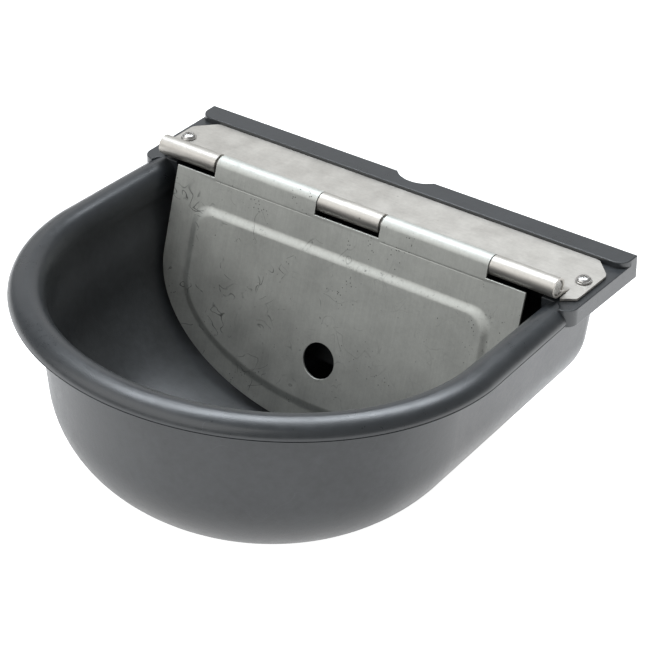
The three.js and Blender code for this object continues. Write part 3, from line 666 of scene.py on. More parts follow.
bowl_plastic = moulded_plastic("bowl_plastic", (0.0385, 0.0412, 0.0438),
                               polished_above=-12.5 * MM)
valve_plastic = moulded_plastic("valve_plastic", (0.72, 0.71, 0.66), 0.38)
float_plastic = foamed_plastic("float_plastic", (0.02, 0.021, 0.022))
plate_steel = plate_steel_material()
flap_steel = flap_steel_material()
fastener_steel = bright_metal("fastener_steel", (0.66, 0.65, 0.63), 0.26)
brass = bright_metal("brass", (0.72, 0.52, 0.24), 0.3)
strainer_mesh = bright_metal("strainer_mesh", (0.5, 0.5, 0.49), 0.35)
black_rubber = rubber("black_rubber", (0.018, 0.018, 0.019))

# ---------------------------------------------------------------- bowl

FRONT_STEPS = 120
CORNER_STEPS = 12
LIP_STEPS = 6


def bowl_outline(half_width, reach, middle, back, corner):
    """A half ellipse at the front, straight sides and rounded corners at the back."""
    inside = half_width - corner
    return (half_ellipse(half_width, middle, reach, FRONT_STEPS)
            + arc(inside, back - corner, corner, 0, 90, CORNER_STEPS)
            + arc(-inside, back - corner, corner, 90, 180, CORNER_STEPS))


def turn_in(up, height):
    """How far an elliptical rounding has turned in, 0 at its top and 1 at the floor."""
    share = min(max((height - up) / height, 0.0), 1.0)
    return 1 - math.sqrt(1 - share * share)


def rim_share(inset, z):
    """How far the inner wall has closed in towards the mouth, 0 low down and 1 at the rim."""
    if not inset:
        return 0
    share = min(max((z - lip.blend_low) / (lip.blend_high - lip.blend_low), 0), 1)
    return share * share * (3 - 2 * share)


def skin_ring(inset, up):
    """One ring of the bowl's skin, inset from the outer surface, at a height over the floor."""
    deep = bowl.depth - inset
    z = up - deep
    drop = max(0.0, bowl.wall_top - z)
    turn = turn_in(up, bowl.round_height - inset)
    back_turn = turn_in(up, bowl.back_round_height - inset)
    half_width = bowl.half_width - inset - drop * bowl.side_draft - (bowl.side_round - inset) * turn
    reach = bowl.front_reach - inset - drop * bowl.front_draft - (bowl.front_round - inset) * turn
    back = -inset - (bowl.back_round - inset) * back_turn
    corner = min(bowl.back_corner - inset + 12 * back_turn, half_width - 1)
    slope_share = min(1.0, drop / (deep + bowl.wall_top))
    rim = rim_share(inset, z)
    half_width += rim * (lip.inner_half - half_width)
    reach += rim * (lip.inner_reach - reach)
    middle = bowl.mid_length + rim * (lip.centre - bowl.mid_length)
    ring = []
    for x, y in bowl_outline(half_width, reach, middle, back, corner):
        ring.append((x, y, z - bowl.floor_slope * slope_share * (-y - bowl.mid_length)))
    return ring


def bowl_skin(inset, top_z):
    height = bowl.round_height - inset
    deep = bowl.depth - inset
    ups = [height * (1 - math.sin(degrees * DEGREE)) for degrees in range(90, -1, -3)]
    wall_steps = 16
    ups += [height + (deep + bowl.wall_top - height) * i / wall_steps
            for i in range(1, wall_steps + 1)]
    ups.append(deep + top_z)
    return loft([skin_ring(inset, up) for up in ups])


def lip_sweep():
    """The overhanging lip: profile points are the share of the way out, and the height."""
    top = [(0, -14), (0.012, -10.5), (0.05, -7.2), (0.115, -4.4), (0.21, -2.1), (0.33, -0.6),
           (0.46, 0), (0.58, -0.35), (0.7, -1.15), (0.81, -2.3), (0.89, -3.6), (0.95, -5.3),
           (0.985, -7), (0.997, -8.6)]
    under = [(0.96, -8.8), (0.96, -9.1), (0.99, -9.3), (0.99, -9.7), (0.975, -9.9), (0.9, -9.9),
             (0.885, -9.7), (0.86, -7), (0.74, -5.8), (0.6, -5.2), (0.45, -6), (0.3, -17),
             (0, -17)]
    top_curve = smooth_through(top, LIP_STEPS)
    section = [tuple(point) for point in top_curve] + under

    def station(inner, outer):
        return [(inner[0] + (outer[0] - inner[0]) * share,
                 inner[1] + (outer[1] - inner[1]) * share, z) for share, z in section]

    def back_end(side):
        return station((side * lip.back_inner_half, -lip.back_start),
                       (side * lip.back_outer_half, -lip.back_start))

    inner_line = half_ellipse(lip.inner_half, lip.centre, lip.inner_reach, FRONT_STEPS)
    outer_line = half_ellipse(lip.outer_half, lip.centre, lip.outer_reach, FRONT_STEPS)
    round_front = [station(*places) for places in zip(inner_line, outer_line)]
    return loft([back_end(-1), *round_front, back_end(1)])


def flange_outline():
    """The flange: its front corners stand forward, with a hollow curve back to the lip."""
    radius = flange.front_corner
    hollow = 6
    half, front = WIDTH / 2, -flange.depth
    inside = half - radius - hollow - 0.5
    right = arc(inside, front, hollow, 90, 0, 10) + arc(half - radius, front + radius, radius,
                                                        270, 360, 10)
    left = [(-x, y) for x, y in reversed(right)]
    return left + right + [(half, 0), (-half, 0)]


def rounded_front_outline(half_width, depth, radius):
    return ([(half_width, 0), (-half_width, 0)]
            + arc(-half_width + radius, -depth + radius, radius, 180, 270, 8)
            + arc(half_width - radius, -depth + radius, radius, 270, 360, 8))


def rim_opening_outline():
    corner = flange.opening_corner
    inside = flange.opening_half - corner
    back = -flange.opening_back - corner
    return (arc(inside, back, corner, 0, 90, 10) + arc(-inside, back, corner, 90, 180, 10)
            + half_ellipse(lip.inner_half, lip.centre, lip.inner_reach, FRONT_STEPS))


def stop_lugs():
    """The two lugs on the floor that the flap leans on."""
    front = hinge.roll_radius - SHEET - 2 * GAP
    turn = Matrix.Translation((0, hinge.y, hinge.z)) @ Matrix.Rotation(flap.hang, 4, "X")
    lugs = []
    for side in (-1, 1):
        x = side * stop_lug.x
        lug = block(x - stop_lug.half, x + stop_lug.half, -stop_lug.bottom, -stop_lug.top,
                    front - stop_lug.thick, front)
        lug = rounded(lug, 0.8)
        lug.transform(turn)
        lugs.append(lug)
    return lugs


def bowl_body():
    lugs = stop_lugs()
    lugs_inside = combine(lugs[0], lugs[1:], "UNION")
    lugs_inside = combine(lugs_inside, [bowl_skin(0.5, -2)], "INTERSECT")
    flange_slab = slab(flange_outline(), -flange.thickness, 0)
    rail = slab(rounded_front_outline(WIDTH / 2, flange.rail_depth, flange.front_corner),
                -5, flange.rail_height)
    # In front of the flange the wall stops under the lip, so the lip rolls smoothly inwards.
    past = WIDTH
    above_lip_root = block(-past, past, -DEPTH - past, -lip.back_start - 2, lip.wall_cut, 10)
    walls = combine(bowl_skin(0, -2), [above_lip_root], "DIFFERENCE")
    shell = combine(walls, [rounded(flange_slab, 0.7), rounded(rail, 0.7)], "UNION")
    shell = combine(shell, [
        bowl_skin(WALL, -flange.thickness),
        slab(rim_opening_outline(), -flange.thickness - 2, 6),
    ], "DIFFERENCE")
    seat_bottom = -bowl.depth + 1
    additions = [
        lip_sweep(),
        rod(pipe_groove.radius + WALL, inlet.z - inlet.recess_radius, -5, "Z",
            (0, pipe_groove.behind, 0)),
        rod(inlet.recess_radius + WALL, -inlet.recess_depth - 4, -1, "Y", (0, 0, inlet.z), 0.8),
        rod(drain.seat_radius, seat_bottom, drain.seat_z, "Z", (0, drain.y, 0), 0.6),
        lugs_inside,
    ]
    for side in (-1, 1):
        screw_place = (side * cover_screw.x, cover_screw.y, 0)
        additions.append(rod(insert.boss_radius, insert.boss_bottom, -5, "Z", screw_place, 0.5))
        pad_place = (side * wall_hole.x, 0, wall_hole.z)
        additions.append(rod(wall_hole.pad_radius, -wall_hole.pad_depth, -1, "Y", pad_place, 0.6))
    shell = combine(shell, additions, "UNION")
    behind_back = block(-30, 30, 0, 40, -140, 10)
    cuts = [
        rod(pipe_groove.radius, inlet.z, 10, "Z", (0, pipe_groove.behind, 0), sides=128),
        rod(inlet.recess_radius, -inlet.recess_depth, 10, "Y", (0, 0, inlet.z), sides=128),
        behind_back,
        rod(inlet.hole_radius, -30, 10, "Y", (0, 0, inlet.z)),
        rod(drain.hole_radius, -150, -100, "Z", (0, drain.y, 0)),
    ]
    for side in (-1, 1):
        cuts.append(rod(insert.outer + GAP, -15, 5, "Z", (side * cover_screw.x, cover_screw.y, 0)))
        cuts.append(rod(wall_hole.radius, -20, 10, "Y", (side * wall_hole.x, 0, wall_hole.z)))
    return combine(shell, cuts, "DIFFERENCE")


show("bowl_shell", [bowl_body()], bowl_plastic, "bowl", node="bowl_body")

# ---------------------------------------------------------------- hinge plate

ROLL_STEPS = 60


def fixed_knuckle_outline():
    """The sheet sweeps up, runs under the pin and rolls round the front of it."""
    y, z, radius = hinge.y, hinge.z, hinge.roll_radius
    start = plate.notch_edge + hinge.root
    steps = 12
    ramp = []
    for i in range(steps + 1):
        share = i / steps
        along = hinge.ramp_start + (hinge.ramp_end - hinge.ramp_start) * share
        rise = (1 - math.cos(math.pi * share)) / 2
        ramp.append((y + along, GAP + (z - radius - GAP) * rise))
    top = [(at, height + SHEET) for at, height in reversed(ramp)]
    outer = arc(y, z, radius, -90, -400, ROLL_STEPS)
    inner = arc(y, z, radius - SHEET, -400, -90, ROLL_STEPS)
    return [(start, GAP + SHEET), (start, GAP)] + ramp + outer + inner + top


def plate_plan():
    right = [
        (plate.half_width - plate.rear_chamfer, plate.rear),
        (plate.half_width, plate.rear - plate.rear_chamfer),
        (plate.half_width, plate.side_end),
        (plate.half_width - plate.shoulder, plate.side_end - plate.shoulder / 2),
        (plate.tab_half, plate.tab_end),
        (plate.tab_half, plate.notch_edge),
    ]
    left = [(-x, y) for x, y in reversed(right)]
    return round_corners(left + right, plate.corner)


def hinge_plate():
    sheet = rounded(slab(plate_plan(), GAP, GAP + SHEET), 0.22, 2)
    spans = [
        (-hinge.half_length, -hinge.outer_joint - hinge.joint_gap),
        (-hinge.centre_joint + hinge.joint_gap, hinge.centre_joint - hinge.joint_gap),
        (hinge.outer_joint + hinge.joint_gap, hinge.half_length),
    ]
    knuckles = [rounded(along_x(fixed_knuckle_outline(), x0, x1), 0.2, 2, 50) for x0, x1 in spans]
    whole = combine(sheet, knuckles, "UNION")
    holes = [rod(cover_screw.hole_radius, -5, 5, "Z", (side * cover_screw.x, cover_screw.y, 0))
             for side in (-1, 1)]
    return combine(whole, holes, "DIFFERENCE")


show("cover_plate", [hinge_plate()], plate_steel, "bowl", node="hinge_plate")

# ---------------------------------------------------------------- flap


def emboss_outline(inset):
    """Outline of the flap's raised panel, brought in by an inset."""
    half = flap.emboss_half - inset
    top = -flap.emboss_top - inset
    corner = flap.emboss_corner - inset / 2
    return (arc(half - corner, top - corner, corner, 0, 90, 14)
            + arc(-half + corner, top - corner, corner, 90, 180, 14)
            + half_ellipse(half, flap.emboss_straight, flap.emboss_round - inset, 80))


def flap_outline():
    return ([(flap.half_width, -flap.top), (-flap.half_width, -flap.top)]
            + half_ellipse(flap.half_width, flap.straight, flap.round_depth, 120))


def pressed_sheet():
    """The flap's sheet, with its panel pressed forward through a soft step, and its hole."""
    steps = 12
    outlines = [flap_outline(), arc(0, -flap.hole_drop, flap.hole_radius, 0, 360, 64)[:-1]]
    heights = [0.0, flap.emboss_height]
    for i in range(steps + 1):
        share = i / steps
        outlines.append(emboss_outline(flap.emboss_band * share))
        heights.append(flap.emboss_height * (1 - math.cos(math.pi * share)) / 2)
    for side in (-1, 1):
        for inset, depth in ((0, 0), (flap.crease_width * 0.4, flap.crease_depth)):
            near = side * (hinge.centre_joint + flap.crease_margin + inset) + hinge.flap_shift
            far = side * (hinge.outer_joint - flap.crease_margin - inset) + hinge.flap_shift
            top = -flap.crease_drop - inset
            bottom = -flap.crease_drop - flap.crease_width + inset
            outlines.append([(near, top), (far, top), (far, bottom), (near, bottom)])
            heights.append(-depth)
    points, edges, levels = [], [], []
    for outline, height in zip(outlines, heights):
        first = len(points)
        points += [Vector(point) for point in outline]
        levels += [height] * len(outline)
        edges += [(first + i, first + (i + 1) % len(outline)) for i in range(len(outline))]
    flat, _, faces, origins, _, _ = delaunay_2d_cdt(points, edges, [], 1, 1e-4)
    front = hinge.roll_radius
    vertices = [(p.x, p.y, front + levels[origin[0]]) for p, origin in zip(flat, origins)]
    hole = Vector((0, -flap.hole_drop))
    kept = []
    for face in faces:
        middle = sum((flat[i] for i in face), Vector((0, 0))) / len(face)
        if (middle - hole).length > flap.hole_radius:
            kept.append(face)
    mesh = bpy.data.meshes.new("sheet")
    mesh.from_pydata(vertices, [], kept)
    with edited(mesh) as work:
        bmesh.ops.recalc_face_normals(work, faces=work.faces)
        if sum(face.normal.z for face in work.faces) < 0:
            bmesh.ops.reverse_faces(work, faces=work.faces)
        bmesh.ops.solidify(work, geom=work.faces, thickness=SHEET)
        bevel_sharp(work, flap.cut_edge, 3, 1.0)
    return mesh


def flap_knuckle_outline():
    front = hinge.roll_radius
    back = hinge.roll_radius - SHEET
    start = -flap.top - 0.8
    return ([(start, back), (start, front)] + arc(0, 0, front, 90, -190, ROLL_STEPS)
            + arc(0, 0, back, -190, 90, ROLL_STEPS))


def cover_flap():
    """The sheet and its two rolls, which hang slightly to the right between the fixed ones."""
    inner = hinge.centre_joint + hinge.joint_gap
    outer = hinge.outer_joint - hinge.joint_gap
    knuckles = []
    for x0, x1 in ((-outer, -inner), (inner, outer)):
        roll = along_x(flap_knuckle_outline(), x0 + hinge.flap_shift, x1 + hinge.flap_shift)
        knuckles.append(rounded(roll, 0.2, 2, 50))
    return combine(pressed_sheet(), knuckles, "UNION")


show("flap_sheet", [cover_flap()], flap_steel, "flap", FLAP, node="cover_flap")

# ---------------------------------------------------------------- hinge pin and screws

pin_end = hinge.half_length - 0.5
show("hinge_rod", [rod(hinge.pin_radius, -pin_end, pin_end, "X", (0, hinge.y, hinge.z), 0.5)],
     fastener_steel, "bowl", node="hinge_pin")


def screw_head_profile():
    """A pan head with a thin collar, and the shank under it."""
    radius, height = cover_screw.head_radius, cover_screw.head_height
    collar = 0.7
    dome_radius = radius - 0.6
    profile = [(cover_screw.shank_radius, -cover_screw.length), (cover_screw.shank_radius, 0),
               (radius - 0.1, 0), (radius, 0.1), (radius, collar - 0.2), (radius - 0.2, collar)]
    for degrees in range(0, 86, 8):
        angle = degrees * DEGREE
        profile.append((dome_radius * math.cos(angle),
                        collar + (height - collar) * math.sin(angle)))
    profile.append((0.05, height))
    return profile


def cover_screw_piece(side):
    """A screw with a cross recess, whose two blades are narrower at their floor."""
    head = lathe(screw_head_profile())
    floor, over_head = (1.5, 0.3, 1.3), (2.6, 0.55, 4)
    blades = []
    for turn in (25, 115):
        blade = loft([[(x * length, y * half, z) for x, y in ((-1, -1), (1, -1), (1, 1), (-1, 1))]
                      for length, half, z in (floor, over_head)])
        blade.transform(Matrix.Rotation(turn * DEGREE, 4, "Z"))
        blades.append(blade)
    screw = combine(head, blades, "DIFFERENCE")
    screw.transform(Matrix.Translation((side * cover_screw.x, cover_screw.y, GAP + SHEET + GAP)))
    return screw


for word, side in (("left", -1), ("right", 1)):
    show(f"screw_{word}", [cover_screw_piece(side)], fastener_steel, "bowl",
         node=f"cover_screw_{word}")
    at = (side * cover_screw.x, cover_screw.y, -GAP)
    show(f"insert_{word}", [ring_piece(insert.outer, insert.inner, -insert.length, 0, "Z", at)],
         brass, "bowl", node=f"screw_insert_{word}")

# ---------------------------------------------------------------- inlet valve

WALL_OUTSIDE = -inlet.recess_depth
WALL_INSIDE = WALL_OUTSIDE - WALL - 0.5
FLANGE_BACK = WALL_INSIDE - 2 * GAP - washer.thick
HEX_FRONT = FLANGE_BACK - valve.hex_length
INLET_AXIS = (0, 0, inlet.z)
PIVOT_AXIS = (0, pivot.y, pivot.z)


def cheek_outline():
    """Side view of a lug that holds the pivot pin, rounded at its foot."""
    middle = (valve.barrel_front + valve.cheek_back) / 2
    radius = (valve.cheek_back - valve.barrel_front) / 2
    foot = arc(middle, valve.cheek_bottom + radius, radius, 180, 360, 24)
    return [(valve.cheek_back, inlet.z), (valve.barrel_front, inlet.z)] + foot


def valve_barrel_profile():
    """The barrel from its rounded mouth back to the hexagon, with two grip grooves."""
    radius, front, back = valve.barrel_radius, valve.barrel_front, HEX_FRONT + 1
    profile = [(radius - 1, front), (radius - 0.3, front + 0.3), (radius, front + 1)]
    return profile + grooves(radius, (-30, -26), 1, 0.5, 0.7) + [(radius, back)]


def valve_body():
    body = combine(lathe(valve_barrel_profile(), "Y", INLET_AXIS, 96), [
        threaded(inlet.thread_radius, inlet.thread_pitch, FLANGE_BACK - 1, inlet.behind, "Y",
                 INLET_AXIS, 96),
        hexagon(valve.hex_radius, HEX_FRONT, FLANGE_BACK, "Y", INLET_AXIS),
        rounded(along_x(cheek_outline(), -valve.cheek_outside, -valve.cheek_inside), 0.4, 2, 50),
        rounded(along_x(cheek_outline(), valve.cheek_inside, valve.cheek_outside), 0.4, 2, 50),
    ], "UNION")
    front = valve.barrel_front
    past = valve.cheek_outside + 5
    clear = arm.hub_half + 0.4
    return combine(body, [
        rod(valve.bore_radius, front - 5, valve.bore_back, "Y", INLET_AXIS),
        rod(valve.waterway_radius, valve.bore_back - 0.5, inlet.behind + 5, "Y", INLET_AXIS),
        block(-valve.slot_half, valve.slot_half, front - 5, valve.cheek_back + 1,
              valve.cheek_bottom - 5, inlet.z),
        rod(arm.hub_radius + 0.4, -clear, clear, "X", PIVOT_AXIS),
        rod(pivot.pin_radius + 0.1, -past, past, "X", PIVOT_AXIS),
    ], "DIFFERENCE")


def valve_nozzle():
    """The jet that the plunger's seal shuts: a pressed-in bush with a raised, rounded tip."""
    tip, base = nozzle.tip_radius, nozzle.radius
    profile = [(tip - 0.8, nozzle.tip_front), (tip - 0.3, nozzle.tip_front + 0.15),
               (tip, nozzle.tip_front + 0.6), (tip, nozzle.front - 0.8), (tip + 0.6, nozzle.front),
               (base - 0.4, nozzle.front), (base, nozzle.front + 0.4),
               (base, valve.bore_back - GAP - 0.4), (base - 0.4, valve.bore_back - GAP)]
    jet = rod(nozzle.orifice, nozzle.tip_front - 5, 0, "Y", INLET_AXIS)
    return combine(lathe(profile, "Y", INLET_AXIS), [jet], "DIFFERENCE")


def inlet_strainer():
    """A cup of crossed wires with a solid rim and a solid end."""
    radius = strainer.radius - strainer.wire
    back = strainer.back - strainer.collar
    rim = ring_piece(strainer.radius, strainer.radius - 1, back, strainer.back, "Y", INLET_AXIS,
                     0.25)
    end = rod(strainer.radius, strainer.front, strainer.front + 1, "Y", INLET_AXIS, 0.3)
    steps = 20
    parts = [rim, end]
    for twist in (-1, 1):
        for i in range(strainer.wires):
            line = []
            for k in range(steps + 1):
                share = k / steps
                angle = 2 * math.pi * (i / strainer.wires + twist * 0.45 * share)
                along = strainer.front + 0.5 + (back - strainer.front) * share
                line.append((radius * math.cos(angle), along, inlet.z + radius * math.sin(angle)))
            parts.append(wire(line, strainer.wire))
    return parts


def lock_nut_piece():
    front = WALL_OUTSIDE + washer.thick + 2 * GAP
    back = front + lock_nut.thickness
    bore = inlet.thread_radius + GAP
    nut = hexagon(lock_nut.radius, front, back, "Y", INLET_AXIS)
    mouth = [(bore + 1, front - 1), (bore, front + 1), (bore, back - 1), (bore + 1, back + 1)]
    cuts = [lathe(mouth, "Y", INLET_AXIS, 96)]
    pitch = inlet.thread_pitch
    for i in range(3):
        middle = front + 1.3 + i * pitch
        groove = [(bore - 0.5, middle - 0.5), (bore + 0.5, middle), (bore - 0.5, middle + 0.5)]
        cuts.append(lathe(groove, "Y", INLET_AXIS, 96))
    return combine(nut, cuts, "DIFFERENCE")


def washer_piece(back, outer):
    """A flat rubber washer with a shallow groove round each face."""
    body = ring_piece(outer, washer.inner, back - washer.thick, back, "Y", INLET_AXIS, 0.45, 96)
    middle = (outer + washer.inner) / 2
    face_rings = [
        ring_piece(middle + 0.5, middle - 0.5, face - 0.3, face + 0.3, "Y", INLET_AXIS, 0, 96)
        for face in (back, back - washer.thick)
    ]
    return combine(body, face_rings, "DIFFERENCE")


def valve_plunger():
    """A sliding barrel with relief grooves, a pocket for the seal and a slot for the lever."""
    radius, front, back = plunger.radius, plunger.front, plunger.back
    profile = [(radius - 0.7, front), (radius, front + 0.7)]
    profile += grooves(radius, (front + 3, back - 4.5), 0.8, 0.4, 0.5)
    profile += [(radius, back - 0.5), (radius - 0.5, back)]
    half = valve.slot_half
    underside = inlet.z - radius - 1
    return combine(lathe(profile, "Y", INLET_AXIS), [
        rod(plunger.pocket_radius, back - plunger.pocket_depth, back + 5, "Y", INLET_AXIS),
        block(-half, half, pivot.y - plunger.slot_reach, pivot.y + plunger.slot_reach,
              underside, inlet.z + arm.tip_radius + 1),
        block(-half, half, pivot.y - plunger.low_slot_front, pivot.y,
              underside, inlet.z - arm.tip_radius),
    ], "DIFFERENCE")


def plunger_seal():
    """A rubber disc, worn to a shallow ring where the jet shuts on it."""
    start, end = plunger.back - seal.depth, plunger.back + seal.proud
    print_ring = ring_piece(nozzle.tip_radius, nozzle.tip_radius - 0.9, end - 0.2, end + 1, "Y",
                            INLET_AXIS, 0)
    return combine(rod(seal.radius, start, end, "Y", INLET_AXIS, 0.4), [print_ring], "DIFFERENCE")


outer_washer_back = WALL_OUTSIDE + GAP + washer.thick
for name, meshes, material, body, slot, node in (
    ("valve_housing", [valve_body()], valve_plastic, "bowl", "valve_plastic", "valve_body"),
    ("valve_jet", [valve_nozzle()], brass, "bowl", "brass", "valve_nozzle"),
    ("strainer_cup", inlet_strainer(), strainer_mesh, "bowl", "strainer_mesh", "inlet_strainer"),
    ("backnut", [lock_nut_piece()], brass, "bowl", "brass", "lock_nut"),
    ("washer_inside", [washer_piece(WALL_INSIDE - GAP, washer.outer)], black_rubber, "bowl",
     "black_rubber", "inner_washer"),
    ("washer_outside", [washer_piece(outer_washer_back, washer.outer + 1)], black_rubber, "bowl",
     "black_rubber", "outer_washer"),
    ("plunger_barrel", [valve_plunger()], valve_plastic, "plunger", "valve_plastic",
     "valve_plunger"),
    ("seal_disc", [plunger_seal()], black_rubber, "plunger", "black_rubber", "plunger_seal"),
):
    show(name, meshes, material, body, node=node)

# ---------------------------------------------------------------- float and its lever

PAD_BOTTOM = float_block.top + GAP
PAD_TOP = PAD_BOTTOM + arm.pad_thickness


def float_arm():
    """One moulded lever: tip, upright, hub, ribbed lever and the pad that holds the float."""
    end = float_block.bolt_y + arm.lever_half
    lever = [(pivot.y + 1, pivot.z - arm.lever_half), (pivot.y - 1, pivot.z + arm.lever_half),
             (end, PAD_TOP), (end, PAD_BOTTOM)]
    pad = round_corners([
        (-arm.pad_half, float_block.bolt_y - arm.pad_front),
        (arm.pad_half, float_block.bolt_y - arm.pad_front),
        (arm.pad_half, float_block.bolt_y + arm.pad_back),
        (-arm.pad_half, float_block.bolt_y + arm.pad_back),
    ], 3)
    whole = combine(rod(arm.hub_radius, -arm.hub_half, arm.hub_half, "X", PIVOT_AXIS, 0.5), [
        rod(arm.tip_radius, -arm.half, arm.half, "X", (0, pivot.y, inlet.z), 0.4),
        rounded(block(-arm.half, arm.half, pivot.y - arm.upright_half, pivot.y + arm.upright_half,
                      pivot.z, inlet.z), 0.3, 2),
        rounded(along_x(lever, -arm.half, arm.half), 0.4, 2),
        rounded(slab(pad, PAD_BOTTOM, PAD_TOP), 0.4, 2, 60),
    ], "UNION")
    past = arm.hub_half + 5
    return combine(whole, [
        rod(pivot.pin_radius + 0.1, -past, past, "X", PIVOT_AXIS),
        rod(bolt.hole_radius, PAD_BOTTOM - 5, PAD_TOP + 5, "Z", (0, float_block.bolt_y, 0)),
    ], "DIFFERENCE")


def pivot_pin():
    radius, head = pivot.pin_radius, pivot.head_radius
    profile = [(radius - 0.4, pivot.end), (radius, pivot.end - 0.5), (radius, -pivot.inside),
               (head - 0.1, -pivot.inside), (head, -pivot.inside - 0.2),
               (head, -pivot.end + 1.2), (head - 0.5, -pivot.end + 0.5), (head - 1.5, -pivot.end)]
    return lathe(profile, "X", PIVOT_AXIS)


def pivot_clip():
    """A spring clip that snaps over the pin, open at the top."""
    start, end = pivot.inside, pivot.inside + 1
    body = rod(pivot.clip_radius, start, end, "X", PIVOT_AXIS, 0.15)
    mouth = 1.2
    cuts = [
        rod(pivot.pin_radius + 0.2, start - 5, end + 5, "X", PIVOT_AXIS),
        block(start - 5, end + 5, pivot.y - mouth, pivot.y + mouth, pivot.z, pivot.z + 10),
    ]
    for degrees in (200, 340):
        y = pivot.y + 2.6 * math.cos(degrees * DEGREE)
        z = pivot.z + 2.6 * math.sin(degrees * DEGREE)
        cuts.append(rod(0.8, start - 5, end + 5, "X", (0, y, z)))
    return combine(body, cuts, "DIFFERENCE")


def float_outline(inset):
    corner = float_block.corner - inset
    right = float_block.half - float_block.corner
    back = float_block.back - float_block.corner
    front = float_block.front + float_block.corner
    return (arc(right, back, corner, 0, 90, 10) + arc(-right, back, corner, 90, 180, 10)
            + arc(-right, front, corner, 180, 270, 10) + arc(right, front, corner, 270, 360, 10))


def float_body():
    """A rounded block with a flash line round its middle."""
    edge, top, bottom = float_block.edge, float_block.top, float_block.bottom
    middle = (top + bottom) / 2
    side = 0.3
    turns = [degrees * DEGREE for degrees in range(0, 91, 10)]
    levels = [(side + edge * (1 - math.sin(turn)), bottom + edge * (1 - math.cos(turn)))
              for turn in turns]
    levels += [(side, middle - 0.4), (0, middle - 0.15), (0, middle + 0.15), (side, middle + 0.4)]
    levels += [(side + edge * (1 - math.sin(turn)), top - edge * (1 - math.cos(turn)))
               for turn in reversed(turns)]
    body = loft([[(x, y, z) for x, y in float_outline(inset)] for inset, z in levels])
    bore = rod(float_block.bore_radius, bottom - 5, top + 5, "Z", (0, float_block.bolt_y, 0))
    return combine(body, [bore], "DIFFERENCE")


def float_bolt():
    seat = float_block.top + arm.pad_thickness + 2 * GAP
    at = (0, float_block.bolt_y, 0)
    start = float_block.bottom - bolt.end
    return combine(rod(bolt.radius, start + 14, seat + 1, "Z", at), [
        threaded(bolt.radius, bolt.pitch, start, start + 14.5, "Z", at, 40, 6),
        hexagon(bolt.head_radius, seat, seat + bolt.head_height, "Z", at),
    ], "UNION")


def float_nut():
    top = float_block.bottom - GAP
    at = (0, float_block.bolt_y, 0)
    nut = hexagon(bolt.head_radius, top - bolt.nut_height, top, "Z", at)
    return combine(nut, [rod(bolt.hole_radius, top - 20, top + 5, "Z", at)], "DIFFERENCE")


show("float_skin", [float_body()], float_plastic, "float", node="float_block")
for name, mesh, body, node in (
    ("lever", float_arm(), "float", "float_arm"),
    ("lever_pin", pivot_pin(), "bowl", "pivot_pin"),
    ("pin_clip", pivot_clip(), "bowl", "pivot_clip"),
    ("bolt", float_bolt(), "float", "float_bolt"),
    ("bolt_nut", float_nut(), "float", "float_nut"),
):
    show(name, [mesh], fastener_steel, body, node=node)

# ---------------------------------------------------------------- drain plug


def drain_plug():
    """A ribbed rubber plug with a domed cap and a holed tab to pull it by."""
    shank = drain.hole_radius - GAP
    profile = [(plug.tip_radius - 0.8, -plug.depth), (plug.tip_radius, -plug.depth + 0.6),
               (shank, plug.taper - plug.depth)]
    profile += grooves(shank, (-3.4, -1.6), 0.5, 0.2, 0.7)
    profile += [(shank, 0), (plug.cap_radius - 0.4, 0), (plug.cap_radius, 0.4),
                (plug.cap_radius, plug.cap_edge - 0.3), (plug.cap_radius - 0.5, plug.cap_edge)]
    steps = 8
    for i in range(steps + 1):
        angle = (math.pi / 2) * i / steps
        profile.append((0.3 + (plug.dome_radius - 0.3) * math.cos(angle),
                        plug.cap_edge + 0.2 + (plug.top - plug.cap_edge - 0.2) * math.sin(angle)))
    tab = rod(plug.tab_radius, -plug.tab_half, plug.tab_half, "Y", (0, 0, plug.tab_z), 0.7)
    whole = combine(lathe(profile, sides=96), [tab], "UNION")
    hole = rod(plug.tab_hole_radius, -10, 10, "Y", (0, 0, plug.tab_hole_z))
    piece = combine(whole, [hole], "DIFFERENCE")
    piece.transform(Matrix.Translation((0, drain.y, drain.seat_z + GAP)))
    return piece


show("plug", [drain_plug()], black_rubber, "drain_plug", node="drain_plug")

# ---------------------------------------------------------------- studio

CAMERA_AZIMUTH = 36.48
CAMERA_ELEVATION = 32.26
CAMERA_DISTANCE = 1.6084
CAMERA_LENS = 152.65
CAMERA_AIM = ORIGIN + Vector((2.1, -97.6, -49.8)) * MM
LIGHTS_AIM = Vector((0, 0, 0.07))


def towards(azimuth, elevation):
    """A direction, in degrees: azimuth 0 is straight in front and turns to the right."""
    turn, rise = azimuth * DEGREE, elevation * DEGREE
    return Vector((math.sin(turn) * math.cos(rise), -math.cos(turn) * math.cos(rise),
                   math.sin(rise)))


def light_panel(name, place, back, width, height, brightness, tint=(1, 1, 1)):
    """A panel of light with its back turned one way; its power is 4 x area x brightness."""
    light = bpy.data.lights.new(name, "AREA")
    light.shape = "RECTANGLE"
    light.size = width
    light.size_y = height
    light.energy = 4 * width * height * brightness
    light.color = tint
    lamp = bpy.data.objects.new(name, light)
    lamp.location = place
    lamp.rotation_euler = back.to_track_quat("Z", "Y").to_euler()
    lamp.visible_camera = False
    bpy.context.scene.collection.objects.link(lamp)


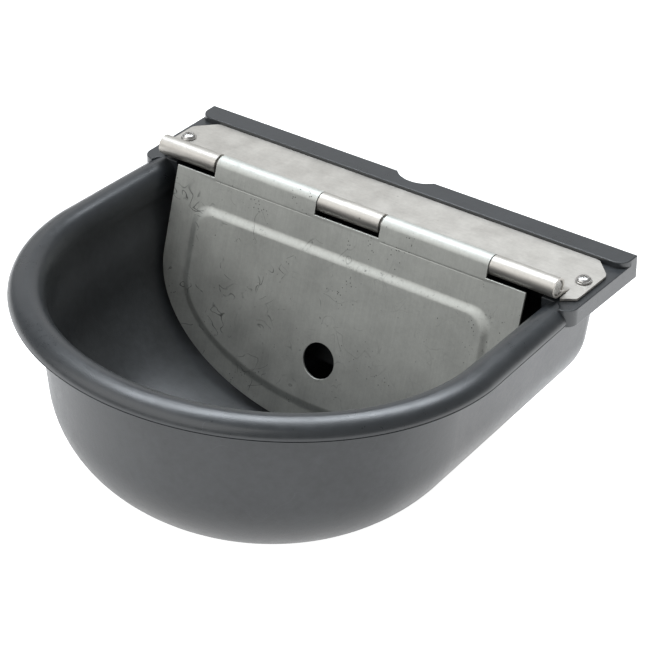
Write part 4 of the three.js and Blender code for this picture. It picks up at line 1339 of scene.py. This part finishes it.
def softbox(name, azimuth, elevation, distance, *looks):
    """A panel that faces the bowl from a direction and a distance."""
    direction = towards(azimuth, elevation)
    light_panel(name, LIGHTS_AIM + direction * distance, direction, *looks)


def studio_floor():
    mesh = bpy.data.meshes.new("studio_floor")
    half = 4.0
    mesh.from_pydata([(-half, -half, 0), (half, -half, 0), (half, half, 0), (-half, half, 0)],
                     [], [(0, 1, 2, 3)])
    material, _, shader = new_material("studio_floor")
    shader.inputs["Base Color"].default_value = colour(0.6, 0.6, 0.6)
    shader.inputs["Roughness"].default_value = 1.0
    shader.inputs["Specular IOR Level"].default_value = 0.0
    shader.inputs["Emission Color"].default_value = colour(1, 1, 1)
    shader.inputs["Emission Strength"].default_value = 0.95
    mesh.materials.append(material)
    floor = bpy.data.objects.new("studio_floor", mesh)
    floor.location.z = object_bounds()[0][2] - 0.0005
    bpy.context.scene.collection.objects.link(floor)
    floor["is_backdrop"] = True


def camera():
    data = bpy.data.cameras.new("camera")
    data.lens = CAMERA_LENS
    data.sensor_width = 36
    body = bpy.data.objects.new("camera", data)
    back = towards(CAMERA_AZIMUTH, CAMERA_ELEVATION)
    body.location = CAMERA_AIM + back * CAMERA_DISTANCE
    body.rotation_euler = back.to_track_quat("Z", "Y").to_euler()
    bpy.context.scene.collection.objects.link(body)
    bpy.context.scene.camera = body


def surroundings():
    world = bpy.data.worlds.new("studio")
    bpy.context.scene.world = world
    world.use_nodes = True
    background = world.node_tree.nodes["Background"]
    background.inputs["Color"].default_value = colour(1, 1, 1)
    background.inputs["Strength"].default_value = 0.3


studio_floor()
camera()
surroundings()
FAR_SIDE = CAMERA_AZIMUTH + 180
softbox("overhead", FAR_SIDE, 70, 1.6, 1.6, 0.36, 11.2, (0.92, 0.98, 1.05))
softbox("backdrop", FAR_SIDE, 26, 2.0, 3.0, 0.9, 0.4)
softbox("left_front_panel", -25, 40, 1.9, 2.4, 1.6, 1.2)
light_panel("floor_glow", Vector((0.36, 0.32, 0.001)), Vector((0, 0, -1)), 0.5, 0.7, 0.3)
bpy.context.scene.view_settings.view_transform = "Standard"
